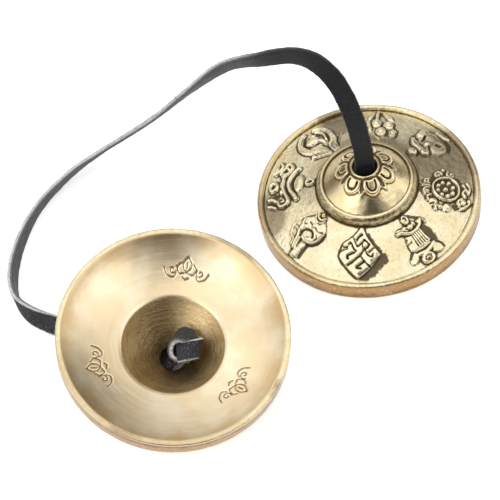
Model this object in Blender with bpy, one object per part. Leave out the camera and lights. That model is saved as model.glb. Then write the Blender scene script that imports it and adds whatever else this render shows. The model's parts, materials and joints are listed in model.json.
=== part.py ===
"""Tingsha: two small thick bronze cymbals joined by one flat leather lace, knotted in each cup.

The right cymbal lies rim down on the table. The left one lies hollow side up: it leans on the
edge of its boss and on the lace, which comes out of its hole and runs flat on the table.

A cymbal's own frame has its rim plane at z = 0 and its boss towards +Z. Its +Y is the direction
of the lace's width where the lace passes through the hole.
"""

import math

import bmesh
import bpy
from mathutils import Matrix, Vector

MM = 0.001

# Cymbal: outer side, from the rim to the hole
RIM_R = 32.5 * MM
RIM_EASE = 0.5 * MM
RIM_LAND = 0.9 * MM
SIDE_H = 5.9 * MM
BEAD_W = 2.0 * MM
BEAD_DROP = 1.05 * MM
FIELD_RISE = 5.35 * MM
RING_R = 13.0 * MM
RING_IN_W = 0.4 * MM
RING_OUT_W = 1.75 * MM
RING_H = 2.9 * MM
RING_DIP = 0.45 * MM
BOSS_H = 7.25 * MM
BOSS_BULGE = 0.3 * MM
LIP_R = 3.95 * MM
LIP_W = 0.9 * MM
LIP_H = 0.6 * MM
LIP_FOOT = 0.63 * MM
HOLE_R = 3.5 * MM

# Cymbal: hollow side, given by the metal left behind it
CUP_R = 14.7 * MM
CUP_METAL = 5.9 * MM
HOLE_METAL = 2.6 * MM
DISH_BULGE = 0.7 * MM
TURN_STEPS = 56
WELD = 0.01 * MM
SMOOTH_BELOW = math.radians(35)

# Ornament, in relief: how high it stands, how deep its solid reaches into the metal, and its drawing.
# The signs are drawn in mm on a field this wide and follow its width.
SIGN_HIGH = 0.95 * MM
PETAL_HIGH = 0.42 * MM
RELIEF_ROOT = 0.8 * MM
SIGN_DRAWN_W = 15.78
SIGN_MIDDLE = 0.48
PETALS = 7
PETALS_FROM = 6.0
PETAL_DRAWN_W = 8.02
PETAL_EASE = 0.15 * MM
OVAL_SIDES = 8
HOOP_SIDES = 16

# Lace: one flat strip of leather
LACE_W = 5.5 * MM
LACE_T = 1.6 * MM
LACE_CORNER = 0.2 * MM
LACE_CORNER_SHARE = 0.4
LACE_STEP = 4.0 * MM
KNOT_STEP = 2.2 * MM
ROUTE_READS = 24
GAP = 0.3 * MM
TABLE_GAP = 0.02 * MM
NOSE_STEPS = 4
NOSE_TURN = math.radians(82)

# The lace hinges a little outside the mouth of each hole
HINGE_RISE = 0.35 * MM
UNDER_LEN = 20.0 * MM

# Where the left cymbal lies: its hinge on the table, and how far and which way it leans
LEFT_X = -64.96 * MM
LEFT_Y = -39.41 * MM
LEAN = math.radians(12.3)
LEAN_TOWARDS = math.radians(-53.0)
LACE_TOWARDS = math.radians(147.7)

# Knot: its middle in the cymbal's frame, and how it is turned there
KNOT_X = -3.3 * MM
KNOT_Y = 1.8 * MM
KNOT_ABOVE_HOLE = 6.9 * MM
KNOT_ACROSS = (-0.92, 0.38, -0.04)
KNOT_OUT = (-0.13, -0.54, -0.83)
KNOT_CORE = (6.4 * MM, 5.6 * MM, 4.4 * MM)
KNOT_CORE_EASE = 1.0 * MM
STUB_REACH = 0.5 * MM

# The lace's free route from the right hinge to where it lies under the left cymbal, in mm:
# a point, then the direction of the lace's width there, towards its upper cut edge
LACE_ROUTE = (
    ((0.2, 0.6, 25.5), (1.00, 0.00, 0.00)),
    ((0.3, 1.8, 30.5), (1.00, 0.00, 0.05)),
    ((0.0, 4.0, 36.5), (0.99, 0.00, 0.12)),
    ((-1.4, 7.6, 43.0), (0.96, 0.05, 0.27)),
    ((-3.9, 11.5, 48.5), (0.84, 0.18, 0.51)),
    ((-8.4, 16.2, 51.5), (0.45, 0.26, 0.85)),
    ((-14.6, 20.3, 51.5), (-0.13, 0.20, 0.97)),
    ((-22.9, 24.0, 48.0), (-0.45, 0.10, 0.88)),
    ((-33.1, 28.4, 41.0), (-0.67, -0.16, 0.72)),
    ((-44.7, 30.9, 28.5), (-0.66, -0.56, 0.50)),
    ((-54.9, 33.1, 17.5), (-0.56, -0.68, 0.46)),
    ((-64.8, 35.0, 9.5), (-0.42, -0.66, 0.62)),
    ((-74.9, 34.2, 4.7), (-0.12, -0.62, 0.77)),
    ((-84.9, 30.0, 3.2), (0.16, -0.36, 0.92)),
    ((-95.1, 21.8, 2.95), (0.14, -0.16, 0.98)),
    ((-101.9, 11.7, 2.9), (-0.03, -0.03, 1.00)),
    ((-105.7, 1.0, 2.95), (-0.15, 0.00, 0.99)),
    ((-106.0, -8.0, 2.95), (-0.08, 0.00, 1.00)),
    ((-102.4, -14.8, 2.95), (0.28, 0.26, 0.90)),
    ((-95.4, -20.2, 2.15), (0.46, 0.72, 0.46)),
)

# Where that route settles flat: lace widths before its end, and height above the flat stretch
LACE_TAIL = ((1.5, 0.35 * MM), (0.75, 0.05 * MM), (0.0, 0.0))

# The two bands of the knot, in mm from its middle: across, along and out of the cup.
# Each has a point, then the direction of the band's width.
KNOT_LOOP = (
    ((0.8, -3.2, -0.6), (0.1, 0.2, 1.0)),
    ((-1.6, -3.4, -0.4), (0.0, 0.2, 1.0)),
    ((-3.5, -1.8, -0.4), (-0.2, 0.1, 1.0)),
    ((-3.9, 0.6, -0.3), (-0.2, 0.0, 1.0)),
    ((-2.8, 2.9, -0.6), (-0.1, -0.3, 1.0)),
    ((-0.3, 3.8, -1.0), (0.1, -0.6, 0.8)),
    ((2.0, 2.9, -1.8), (0.3, -0.6, 0.8)),
)
KNOT_FRONT = (
    ((-2.5, -0.9, 1.6), (0.3, 0.9, -0.4)),
    ((0.2, -0.3, 1.9), (0.3, 0.9, -0.4)),
    ((2.4, 0.3, 1.4), (0.3, 0.9, -0.4)),
    ((3.3, 0.5, -0.4), (0.2, 0.9, -0.4)),
    ((2.0, 0.6, -2.4), (0.2, 0.9, -0.3)),
)

# Heights in the cymbal's own frame that follow from the sizes above
GROOVE_Z = SIDE_H - BEAD_DROP
FIELD_TOP_Z = GROOVE_Z + FIELD_RISE
CREST_Z = FIELD_TOP_Z + RING_H
BOSS_FOOT_Z = CREST_Z - RING_DIP
TOP_Z = BOSS_FOOT_Z + BOSS_H
CUP_EDGE_Z = CREST_Z - CUP_METAL
CUP_END_Z = TOP_Z - HOLE_METAL
HINGE_Z = TOP_Z + HINGE_RISE

# The two turned surfaces that carry ornament: (radius, height) where each starts and ends
BOSS_START = (LIP_R + LIP_FOOT, TOP_Z - LIP_H)
BOSS_END = (RING_R - RING_IN_W, BOSS_FOOT_Z)
FIELD_START = (RING_R + RING_OUT_W, FIELD_TOP_Z)
FIELD_END = (RIM_R - BEAD_W, GROOVE_Z)


def clear_scene():
    for old in list(bpy.data.objects):
        bpy.data.objects.remove(old, do_unlink=True)


def material(name, colour, roughness, metallic):
    made = bpy.data.materials.new(name)
    made.use_nodes = True
    shader = made.node_tree.nodes["Principled BSDF"]
    shader.inputs["Base Color"].default_value = (*colour, 1.0)
    shader.inputs["Roughness"].default_value = roughness
    shader.inputs["Metallic"].default_value = metallic
    made.diffuse_color = (*colour, 1.0)
    return made


def empty(name, matrix, parent=None):
    made = bpy.data.objects.new(name, None)
    made.empty_display_size = 5 * MM
    bpy.context.collection.objects.link(made)
    made.parent = parent
    made.matrix_basis = matrix
    return made


def add_object(name, mesh, finish, parent):
    made = bpy.data.objects.new(name, mesh)
    mesh.materials.append(finish)
    bpy.context.collection.objects.link(made)
    made.parent = parent
    return made


def bowed(start, end, bulge, steps):
    """Points from start to end, both (radius, height), with the middle raised by bulge."""
    points = []
    for i in range(steps + 1):
        t = i / steps
        radius = start[0] + (end[0] - start[0]) * t
        height = start[1] + (end[1] - start[1]) * t
        points.append((radius, height + 4 * bulge * t * (1 - t)))
    return points


def rounded(centre, radius_across, radius_up, first, last, steps):
    """Points of an elliptic arc from angle first to last, in degrees."""
    points = []
    for i in range(steps + 1):
        a = math.radians(first + (last - first) * i / steps)
        points.append((centre[0] + radius_across * math.cos(a), centre[1] + radius_up * math.sin(a)))
    return points


def cymbal_profile():
    """The closed section of the casting: down its outer side, then back up the hollow side."""
    lip = rounded((LIP_R, TOP_Z - LIP_W / 2), LIP_W / 2, LIP_W / 2, 180, 0, 5)
    boss = bowed(BOSS_START, BOSS_END, BOSS_BULGE, 4)
    ring = rounded((RING_R, FIELD_TOP_Z), RING_OUT_W, RING_H, 90, 18, 4)
    field = bowed(FIELD_START, FIELD_END, 0, 3)
    bead_middle = (RIM_R - BEAD_W / 2, SIDE_H - BEAD_DROP)
    bead = rounded(bead_middle, BEAD_W / 2, BEAD_DROP, 150, 0, 5)
    rim = [(RIM_R, RIM_EASE), (RIM_R - RIM_EASE, 0), (RIM_R - RIM_EASE - RIM_LAND, 0)]
    dish = bowed(rim[-1], (CUP_R, CUP_EDGE_Z), DISH_BULGE, 4)[1:]
    cup = bowed(dish[-1], (HOLE_R, CUP_END_Z), 0, 2)[1:]
    return lip + boss + ring + field + bead + rim + dish + cup


def oval(at, across, tall, sides=OVAL_SIDES):
    """Corners of a round or oval form."""
    corners = []
    for i in range(sides):
        a = 2 * math.pi * i / sides
        corners.append((at[0] + across * math.cos(a), at[1] + tall * math.sin(a)))
    return corners


def band(points, half):
    """Corners of a band of even width along a line of points."""
    left = []
    right = []
    for i, (x, y) in enumerate(points):
        before = points[max(i - 1, 0)]
        after = points[min(i + 1, len(points) - 1)]
        way = Vector((after[0] - before[0], after[1] - before[1])).normalized() * half
        left.append((x - way.y, y + way.x))
        right.append((x + way.y, y - way.x))
    return left + right[::-1]


# The eight signs of good fortune. Each form is an outline and its holes: x runs round the cymbal
# and y up to the boss, in mm from the sign's middle.


def conch():
    body = [(-2.5, 4.5), (-0.5, 4.0), (1.2, 3.5), (2.6, 5.0), (4.3, 3.8), (5.1, 1.7), (4.4, -0.6),
            (2.5, -2.1), (0.2, -2.2), (-1.5, -1.2), (-3.7, 0.5), (-4.4, 2.3)]
    yield body, []
    yield band([(-2.7, 6.3), (-4.7, 3.7), (-5.2, 0.7), (-4.7, -1.9), (-3.0, -3.8)], 0.25), []
    yield band([(-2.6, -1.0), (-1.5, -2.8), (-0.3, -5.5)], 0.45), []
    yield band([(-2.0, 5.7), (-0.9, 4.9), (0.7, 4.9), (1.8, 5.8)], 0.35), []
    yield oval((-0.1, 6.4), 0.8, 0.75), []
    yield band([(1.5, -2.6), (1.2, -4.6), (1.0, -7.0)], 0.85), []


def endless_knot():
    block = [(0.0, 7.4), (1.7, 5.1), (3.9, 2.1), (5.6, -0.5), (2.7, -4.0), (-0.2, -6.8), (-2.8, -4.9),
             (-5.6, -1.9), (-5.8, 1.2), (-3.1, 4.3)]
    gaps = [
        [(-1.5, 3.3), (-0.6, 5.0), (0.4, 4.4)],
        [(-3.9, 2.2), (-3.2, 2.9), (-1.9, 1.1)],
        [(-3.9, -1.4), (-3.2, -0.3), (-1.9, -0.3)],
        [(-0.9, -3.5), (-0.6, -4.5), (0.9, -2.7)],
        [(1.8, 0.1), (2.4, -1.1), (3.5, -0.5)],
        [(1.5, 3.0), (2.5, 2.6), (2.1, 1.8)],
        [(-1.9, -2.9), (0.3, -0.3), (0.6, 0.4), (-0.3, -0.1)],
    ]
    yield block, gaps


def victory_banner():
    yield oval((0.5, 5.7), 1.25, 1.2), []
    yield oval((0.4, 3.5), 1.05, 0.8), []
    canopy = [(-4.9, 3.3), (-3.4, 2.9), (-1.8, 2.0), (0.2, 1.6), (2.2, 1.8), (3.8, 2.5), (5.1, 2.9)]
    yield band(canopy, 0.55), []
    yield [(-3.1, 1.0), (-0.3, 0.8), (1.6, 0.85), (2.8, 1.1), (2.1, -3.2), (-2.3, -3.5), (-3.4, -1.0)], []
    yield band([(-2.0, -4.5), (0.0, -4.5), (3.0, -4.0)], 0.6), []
    yield oval((-0.7, -6.6), 1.25, 1.25), []
    yield [(-5.1, -4.9), (-3.7, -3.2), (-3.0, -3.9), (-3.0, -5.3), (-4.4, -6.7)], []
    yield [(3.3, -5.0), (4.3, -6.0), (3.6, -7.1), (1.9, -6.7), (1.4, -5.7)], []


def wheel():
    middle = (0.3, 0.1)
    yield oval(middle, 4.1, 4.1, HOOP_SIDES), [oval(middle, 3.3, 3.3, HOOP_SIDES)]
    yield oval(middle, 0.75, 0.75), []
    for turn in range(8):
        a = math.radians(45 * turn + 14)
        yield oval((middle[0] + 2.1 * math.cos(a), middle[1] + 2.1 * math.sin(a)), 0.7, 0.62, 6), []
    for at, size in (
        ((-2.2, 4.9), 1.05), ((0.4, 6.4), 0.7), ((2.4, 5.1), 0.9), ((5.4, 2.0), 0.95), ((7.0, 0.0), 0.6),
        ((5.3, -1.5), 0.85), ((-2.7, -4.7), 0.95), ((-5.6, -1.4), 1.2), ((-5.7, 2.4), 1.05),
    ):
        yield oval(at, size, size), []
    yield band([(-0.7, -5.1), (1.2, -5.3), (2.8, -4.8)], 0.4), []


def treasure_vase():
    yield oval((0.3, 5.0), 1.6, 1.5), []
    yield [(-3.7, 1.8), (-2.0, 3.2), (3.0, 2.9), (5.1, 0.6), (1.2, 0.9), (-1.4, 1.3)], []
    yield [(-1.3, 0.8), (1.0, 0.4), (1.6, -0.2), (0.6, -0.6), (-0.5, 0.1)], []
    yield oval((-2.5, -2.6), 2.9, 2.9, HOOP_SIDES), [oval((-2.3, -2.6), 1.4, 1.4)]
    yield oval((3.4, -2.6), 2.1, 2.4, HOOP_SIDES), []
    yield [(0.7, -3.4), (1.4, -4.7), (1.9, -5.4), (-0.4, -5.6), (0.0, -4.6)], []
    yield band([(-1.9, -6.9), (-1.0, -6.4), (0.9, -6.4)], 0.35), []


def lotus():
    for at, across, tall in (
        ((-3.6, 1.9), 1.35, 1.95), ((0.1, 1.3), 1.65, 1.95), ((-1.9, -1.9), 1.4, 1.7), ((1.9, -2.4), 1.4, 1.8)
    ):
        yield oval(at, across, tall), []
    yield [(-3.2, -3.9), (-1.2, -4.2), (0.8, -6.4), (1.2, -7.4), (-1.2, -7.4), (-2.7, -5.8)], []
    yield band([(1.9, -4.5), (1.9, -7.2)], 0.36), []
    yield [(3.9, -2.8), (4.5, -4.9), (3.5, -6.7), (2.6, -7.2), (2.7, -5.8)], []
    yield [(-1.4, 6.1), (0.2, 5.1), (1.5, 3.4), (0.0, 3.5), (-1.2, 3.9)], []
    yield band([(2.7, 2.0), (2.8, 0.2), (3.7, -1.2)], 0.5), []


def golden_fish():
    yield [(-1.9, 5.9), (-3.3, 3.2), (-4.7, 0.6), (-5.1, -1.8), (-4.3, -4.2), (-2.3, -5.9), (-0.4, -6.2),
           (-0.2, -4.7), (-1.9, -3.6), (-2.5, -1.6), (-1.9, 1.0), (-0.6, 3.6), (0.0, 6.6)], []
    yield [(1.0, 6.6), (1.9, 3.6), (3.1, 1.6), (4.0, -0.9), (3.8, -2.9), (2.6, -4.3), (0.9, -5.3),
           (1.5, -6.9), (3.4, -6.0), (5.4, -4.2), (6.4, -1.8), (6.3, 0.5), (5.8, 3.4), (3.9, 5.3)], []
    yield oval((1.1, -2.6), 2.1, 1.3), []


def ribboned_bowl():
    yield oval((0.0, 5.6), 1.25, 1.2), []
    yield oval((0.3, -5.7), 1.4, 1.3), []
    yield [(-3.4, 1.9), (-2.4, 2.9), (-0.7, 3.8), (1.2, 3.8), (2.8, 2.9), (3.6, 2.1), (2.1, 1.2),
           (-1.2, 1.0)], []
    yield band([(-5.2, 0.6), (-3.5, 0.0), (-1.6, -0.6), (0.2, -0.7), (2.3, 0.0), (5.7, 1.8)], 0.6), []
    yield band([(-5.9, -3.4), (-6.6, -2.3), (-5.9, -1.4), (-4.3, -1.5), (-3.2, -2.0)], 0.45), []
    yield oval((-1.5, -2.8), 1.2, 1.0), []
    yield band([(0.6, -2.8), (3.4, -1.9), (4.7, -1.2), (6.0, -1.0), (6.7, -2.0), (6.2, -3.3)], 0.45), []
    yield band([(-6.5, -5.8), (-5.6, -4.9), (-4.3, -4.5), (-3.1, -5.0), (-2.6, -5.8)], 0.42), []
    yield band([(3.6, -5.6), (4.2, -4.4), (4.7, -3.6)], 0.4), []


# Where each sign stands round the cymbal, in degrees
SIGNS = (
    (conch, 297.8),
    (endless_knot, 343.3),
    (victory_banner, 27.0),
    (wheel, 74.3),
    (treasure_vase, 120.0),
    (lotus, 159.0),
    (golden_fish, 206.6),
    (ribboned_bowl, 249.7),
)

# One lotus petal of the boss: x across it, y out from the lip, in mm
PETAL = ((0.0, 0.0), (-1.7, 0.0), (-2.1, 0.5), (-2.5, 1.6), (-2.3, 2.7), (-1.4, 3.5), (0.0, 3.9),
         (1.4, 3.5), (2.3, 2.7), (2.5, 1.6), (2.1, 0.5), (1.7, 0.0))


def slab(outline, holes):
    """A flat form of thickness 1, from its outline and holes."""
    bm = bmesh.new()
    for corners in [outline] + holes:
        loop = [bm.verts.new((x, y, 0)) for x, y in corners]
        for a, b in zip(loop, loop[1:] + loop[:1]):
            bm.edges.new((a, b))
    bmesh.ops.triangle_fill(bm, use_beauty=True, edges=bm.edges)
    grown = bmesh.ops.extrude_face_region(bm, geom=bm.faces)["geom"]
    top = [part for part in grown if isinstance(part, bmesh.types.BMVert)]
    bmesh.ops.translate(bm, vec=(0, 0, 1), verts=top)
    bmesh.ops.triangulate(bm, faces=bm.faces)
    bmesh.ops.recalc_face_normals(bm, faces=bm.faces)
    return bm


def on_turned(radius, angle, start, end, bulge, up):
    """A place at a height above the turned surface from start to end, both (radius, height)."""
    t = (radius - start[0]) / (end[0] - start[0])
    height = start[1] + (end[1] - start[1]) * t + 4 * bulge * t * (1 - t)
    lift = Vector((start[1] - end[1], end[0] - start[0])).normalized() * up
    out = radius + lift.x
    return Vector((out * math.cos(angle), out * math.sin(angle), height + lift.y))


def ornament_mesh():
    """All the relief of a cymbal: separate solids that stand on the field and on the boss."""
    whole = bmesh.new()
    scale = (FIELD_END[0] - FIELD_START[0]) / SIGN_DRAWN_W
    middle_r = FIELD_START[0] + SIGN_MIDDLE * (FIELD_END[0] - FIELD_START[0])
    for draw, degrees in SIGNS:
        for outline, holes in draw():
            form = slab(outline, holes)
            for v in form.verts:
                angle = math.radians(degrees) + v.co.x * scale / middle_r
                up = SIGN_HIGH if v.co.z > 0.5 else -RELIEF_ROOT
                v.co = on_turned(middle_r - v.co.y * scale, angle, FIELD_START, FIELD_END, 0, up)
            add_form(whole, form)
    scale = (BOSS_END[0] - BOSS_START[0]) / PETAL_DRAWN_W
    for i in range(PETALS):
        form = slab(PETAL, [])
        for v in form.verts:
            radius = BOSS_START[0] + PETAL_EASE + v.co.y * scale
            angle = math.radians(PETALS_FROM + 360 * i / PETALS) + v.co.x * scale / radius
            up = PETAL_HIGH if v.co.z > 0.5 else -RELIEF_ROOT
            v.co = on_turned(radius, angle, BOSS_START, BOSS_END, BOSS_BULGE, up)
        add_form(whole, form)
    return mesh_of(whole, "ornament")


def add_form(whole, form):
    """Puts one closed form, its faces pointing out, into a mesh of many."""
    bmesh.ops.recalc_face_normals(form, faces=form.faces)
    mesh = bpy.data.meshes.new("form")
    form.to_mesh(mesh)
    form.free()
    whole.from_mesh(mesh)
    bpy.data.meshes.remove(mesh)


def cymbal_mesh():
    points = [(radius, 0, height) for radius, height in cymbal_profile()]
    edges = [(i, (i + 1) % len(points)) for i in range(len(points))]
    mesh = bpy.data.meshes.new("cymbal_section")
    mesh.from_pydata(points, edges, [])
    return mesh


def add_cymbal(name, finish, parent):
    made = add_object(name, cymbal_mesh(), finish, parent)
    turn = made.modifiers.new("turned", "SCREW")
    turn.steps = TURN_STEPS
    turn.render_steps = TURN_STEPS
    turn.use_merge_vertices = True
    turn.merge_threshold = WELD
    turn.use_smooth_shade = True
    raised = add_object(f"{name}_ornament", ornament_mesh(), finish, parent)
    raised.hide_render = True
    raised.display_type = "WIRE"
    join = made.modifiers.new("ornament", "BOOLEAN")
    join.operation = "UNION"
    join.solver = "EXACT"
    join.object = raised
    return made


def spline(route, t_all):
    """A smooth curve through a route's points and width directions, read at parameter t_all."""
    count = len(route)
    i = min(max(int(t_all), 0), count - 2)
    t = t_all - i
    values = []
    for part in (0, 1):
        p1 = Vector(route[i][part])
        p2 = Vector(route[i + 1][part])
        p0 = Vector(route[i - 1][part]) if i > 0 else 2 * p1 - p2
        p3 = Vector(route[i + 2][part]) if i + 2 < count else 2 * p2 - p1
        m1 = (p2 - p0) / 2
        m2 = (p3 - p1) / 2
        a = 2 * t**3 - 3 * t**2 + 1
        b = t**3 - 2 * t**2 + t
        c = 3 * t**2 - 2 * t**3
        d = t**3 - t**2
        values.append(a * p1 + b * m1 + c * p2 + d * m2)
    return values


def stations(route, step):
    """Evenly spaced (point, width direction) along a route."""
    read = [spline(route, i / ROUTE_READS) for i in range(ROUTE_READS * (len(route) - 1) + 1)]
    run = [0.0]
    for a, b in zip(read, read[1:]):
        run.append(run[-1] + (b[0] - a[0]).length)
    count = max(2, round(run[-1] / step))
    found = []
    k = 0
    for i in range(count + 1):
        at = run[-1] * i / count
        while k < len(run) - 2 and run[k + 1] < at:
            k += 1
        share = (at - run[k]) / max(run[k + 1] - run[k], 1e-12)
        found.append((read[k][0].lerp(read[k + 1][0], share), read[k][1].lerp(read[k + 1][1], share)))
    return found


def section(middle, width_way, thick_way, half_w, half_t):
    """The eight corners of the lace's cross-section, with its long edges eased."""
    ease = min(LACE_CORNER, LACE_CORNER_SHARE * half_t)
    corners = []
    for side_w, side_t in ((1, 1), (-1, 1), (-1, -1), (1, -1)):
        near = (half_w - ease, half_t)
        far = (half_w, half_t - ease)
        pair = (far, near) if side_w * side_t > 0 else (near, far)
        for w, t in pair:
            corners.append(middle + width_way * (side_w * w) + thick_way * (side_t * t))
    return corners


def sweep(places, round_start=False, round_end=False):
    """A closed flat strip along places, a list of (point, width direction), ends square or round."""
    bm = bmesh.new()
    half_w = LACE_W / 2
    half_t = LACE_T / 2
    rings = []
    last = len(places) - 1
    for i, (point, width) in enumerate(places):
        before = places[max(i - 1, 0)][0]
        after = places[min(i + 1, last)][0]
        along = (after - before).normalized()
        thick_way = along.cross(width).normalized()
        width_way = thick_way.cross(along).normalized()
        nose = []
        if (i == 0 and round_start) or (i == last and round_end):
            outwards = -1 if i == 0 else 1
            for k in range(1, NOSE_STEPS + 1):
                a = NOSE_TURN * k / NOSE_STEPS
                ahead = point + along * (outwards * half_t * math.sin(a))
                nose.append((ahead, width_way, thick_way, half_w, half_t * math.cos(a)))
        if i == 0:
            rings.extend(reversed(nose))
        rings.append((point, width_way, thick_way, half_w, half_t))
        if i == last:
            rings.extend(nose)
    loops = []
    for ring in rings:
        loops.append([bm.verts.new(corner) for corner in section(*ring)])
    for a, b in zip(loops, loops[1:]):
        for k in range(len(a)):
            n = (k + 1) % len(a)
            bm.faces.new((a[k], a[n], b[n], b[k]))
    bm.faces.new(list(reversed(loops[0])))
    bm.faces.new(loops[-1])
    bmesh.ops.recalc_face_normals(bm, faces=bm.faces)
    return bm


def mesh_of(bm, name, to_local=None):
    mesh = bpy.data.meshes.new(name)
    if to_local is not None:
        bm.transform(to_local)
    bm.to_mesh(mesh)
    bm.free()
    mesh.shade_smooth()
    mesh.set_sharp_from_angle(angle=SMOOTH_BELOW)
    return mesh


def frame_matrix(across, along, up, place):
    turned = Matrix((across, along, up)).transposed().to_4x4()
    turned.translation = place
    return turned


def left_face_normal():
    side = math.sin(LEAN)
    return Vector((side * math.cos(LEAN_TOWARDS), side * math.sin(LEAN_TOWARDS), math.cos(LEAN)))


def lace_way():
    """Unit direction on the table in which the lace leaves the left hole."""
    return Vector((math.cos(LACE_TOWARDS), math.sin(LACE_TOWARDS), 0))


def lace_width_under():
    """Unit direction of the lace's width where it lies under the left boss."""
    return Vector((lace_way().y, -lace_way().x, 0))


def left_hinge():
    return Vector((LEFT_X, LEFT_Y, LACE_T / 2 + TABLE_GAP))


def right_hinge():
    return Vector((0, 0, HINGE_Z))


def left_frame():
    """The left cymbal's own frame: boss down, its hinge point on the lace that it presses on."""
    down = -left_face_normal()
    across = lace_width_under().cross(down).normalized()
    along = down.cross(across).normalized()
    return frame_matrix(across, along, down, left_hinge() - down * HINGE_Z)


def right_frame():
    """The right cymbal's own frame: boss up, the lace's width across the picture."""
    return frame_matrix(Vector((0, -1, 0)), Vector((1, 0, 0)), Vector((0, 0, 1)), Vector((0, 0, 0)))


def add_lace(finish, parent):
    """The long free stretch and the short one pressed under the left boss."""
    origin = left_hinge()
    to_local = Matrix.Translation(-origin)
    way = lace_way()
    width = lace_width_under()
    start = [(right_hinge(), Vector((1, 0, 0)))]
    middle = [(Vector(p) * MM, Vector(w)) for p, w in LACE_ROUTE]
    tail = []
    for widths_back, rise in LACE_TAIL:
        back = UNDER_LEN + GAP + widths_back * LACE_W
        tail.append((origin + way * back + Vector((0, 0, rise)), width))
    route = start + middle + tail
    free = sweep(stations(route, LACE_STEP), round_start=True)
    add_object("strap", mesh_of(free, "strap", to_local), finish, parent)
    under = [(origin, width), (origin + way * UNDER_LEN, width)]
    pressed = sweep(stations(under, 2 * LACE_STEP), round_start=True)
    add_object("strap_under_left", mesh_of(pressed, "strap_under_left", to_local), finish, parent)


def knot_pieces():
    """The parts of a knot in the cymbal's own frame: two bands, the stretch in the bore, a core."""
    out = Vector(KNOT_OUT).normalized()
    across = (Vector(KNOT_ACROSS) - Vector(KNOT_ACROSS).dot(out) * out).normalized()
    along = out.cross(across)
    middle = Vector((KNOT_X, KNOT_Y, CUP_END_Z - KNOT_ABOVE_HOLE))
    place = frame_matrix(across, along, out, middle)
    bodies = []
    turned = place.to_3x3()
    for band in (KNOT_LOOP, KNOT_FRONT):
        route = [(place @ (Vector(p) * MM), turned @ Vector(w)) for p, w in band]
        bodies.append(sweep(stations(route, KNOT_STEP)))
    stub_end = Vector((0, 0, HINGE_Z - LACE_T / 2 - GAP))
    wide = Vector((0, 1, 0))
    stub = [
        (stub_end, wide),
        (Vector((0, 0, CUP_END_Z - STUB_REACH)), wide),
        (middle.lerp(Vector((0, 0, CUP_END_Z)), 0.5), wide),
        (middle, wide),
    ]
    bodies.append(sweep(stations(stub, KNOT_STEP)))
    core = bmesh.new()
    bmesh.ops.create_cube(core, size=1.0)
    bmesh.ops.scale(core, vec=KNOT_CORE, verts=core.verts)
    edges = list(core.edges)
    bmesh.ops.bevel(core, geom=edges, offset=KNOT_CORE_EASE, segments=2, affect="EDGES", profile=0.5)
    core.transform(place)
    bodies.append(core)
    for bm in bodies:
        bmesh.ops.triangulate(bm, faces=bm.faces)
    return bodies


def add_knot(name, finish, parent, cymbal_frame, origin):
    """A knot with the stretch of lace through the bore, joined into one body."""
    to_local = Matrix.Translation(-origin) @ cymbal_frame
    pieces = []
    for i, bm in enumerate(knot_pieces()):
        mesh = mesh_of(bm, f"{name}_{i}", to_local)
        piece = add_object(name if i == 0 else f"{name}_part_{i}", mesh, finish, parent)
        pieces.append(piece)
    whole = pieces[0]
    for piece in pieces[1:]:
        piece.hide_render = True
        piece.display_type = "WIRE"
        join = whole.modifiers.new(piece.name, "BOOLEAN")
        join.operation = "UNION"
        join.solver = "EXACT"
        join.object = piece
    return whole


def stand_on_origin(whole, names):
    """Moves the whole so that the origin is under the middle of the named pieces, on the table."""
    bpy.context.view_layer.update()
    graph = bpy.context.evaluated_depsgraph_get()
    corners = []
    for name in names:
        seen = bpy.data.objects[name].evaluated_get(graph)
        corners.extend(seen.matrix_world @ v.co for v in seen.to_mesh().vertices)
        seen.to_mesh_clear()
    low = [min(c[k] for c in corners) for k in range(3)]
    high = [max(c[k] for c in corners) for k in range(3)]
    whole.location = (-(low[0] + high[0]) / 2, -(low[1] + high[1]) / 2, -low[2])
    bpy.context.view_layer.update()


def build():
    clear_scene()
    bronze = material("bronze", (0.72, 0.52, 0.26), 0.32, 1.0)
    bronze_left = material("bronze_left", (0.74, 0.55, 0.29), 0.3, 1.0)
    leather = material("leather", (0.03, 0.03, 0.034), 0.6, 0.0)
    leather_knot = material("leather_knot", (0.05, 0.05, 0.055), 0.75, 0.0)
    whole = empty("tingsha", Matrix.Identity(4))
    left_own = left_frame()
    right_own = right_frame()
    left_axis = empty("left_axis", left_own, whole)
    right_axis = empty("right_axis", right_own, whole)
    left_pivot = empty("left_hinge", Matrix.Translation(left_hinge()), whole)
    right_pivot = empty("right_hinge", Matrix.Translation(right_hinge()), whole)
    add_cymbal("cymbal_left", bronze_left, left_axis)
    add_cymbal("cymbal_right", bronze, right_axis)
    add_lace(leather, left_pivot)
    add_knot("knot_left", leather_knot, left_pivot, left_own, left_hinge())
    add_knot("knot_right", leather_knot, right_pivot, right_own, right_hinge())
    stand_on_origin(whole, ("cymbal_left", "cymbal_right"))


build()
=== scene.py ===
"""The looks of a pair of tingsha: two bronze hand cymbals on one knotted leather lace.

Each cymbal is one skin of rings round its own axis, with its ornament as heights on that skin.
The lace is a swept strip with cut edges and fibres: a free stretch, two curved ends, and a knot
in each cup. Cymbals and routes are given in mm, ornament in tenths of a mm, and the stage and all
that is multiplied by MM in metres.
"""

import json
import math

import bpy
import numpy as np
from mathutils import Matrix, Vector


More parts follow.
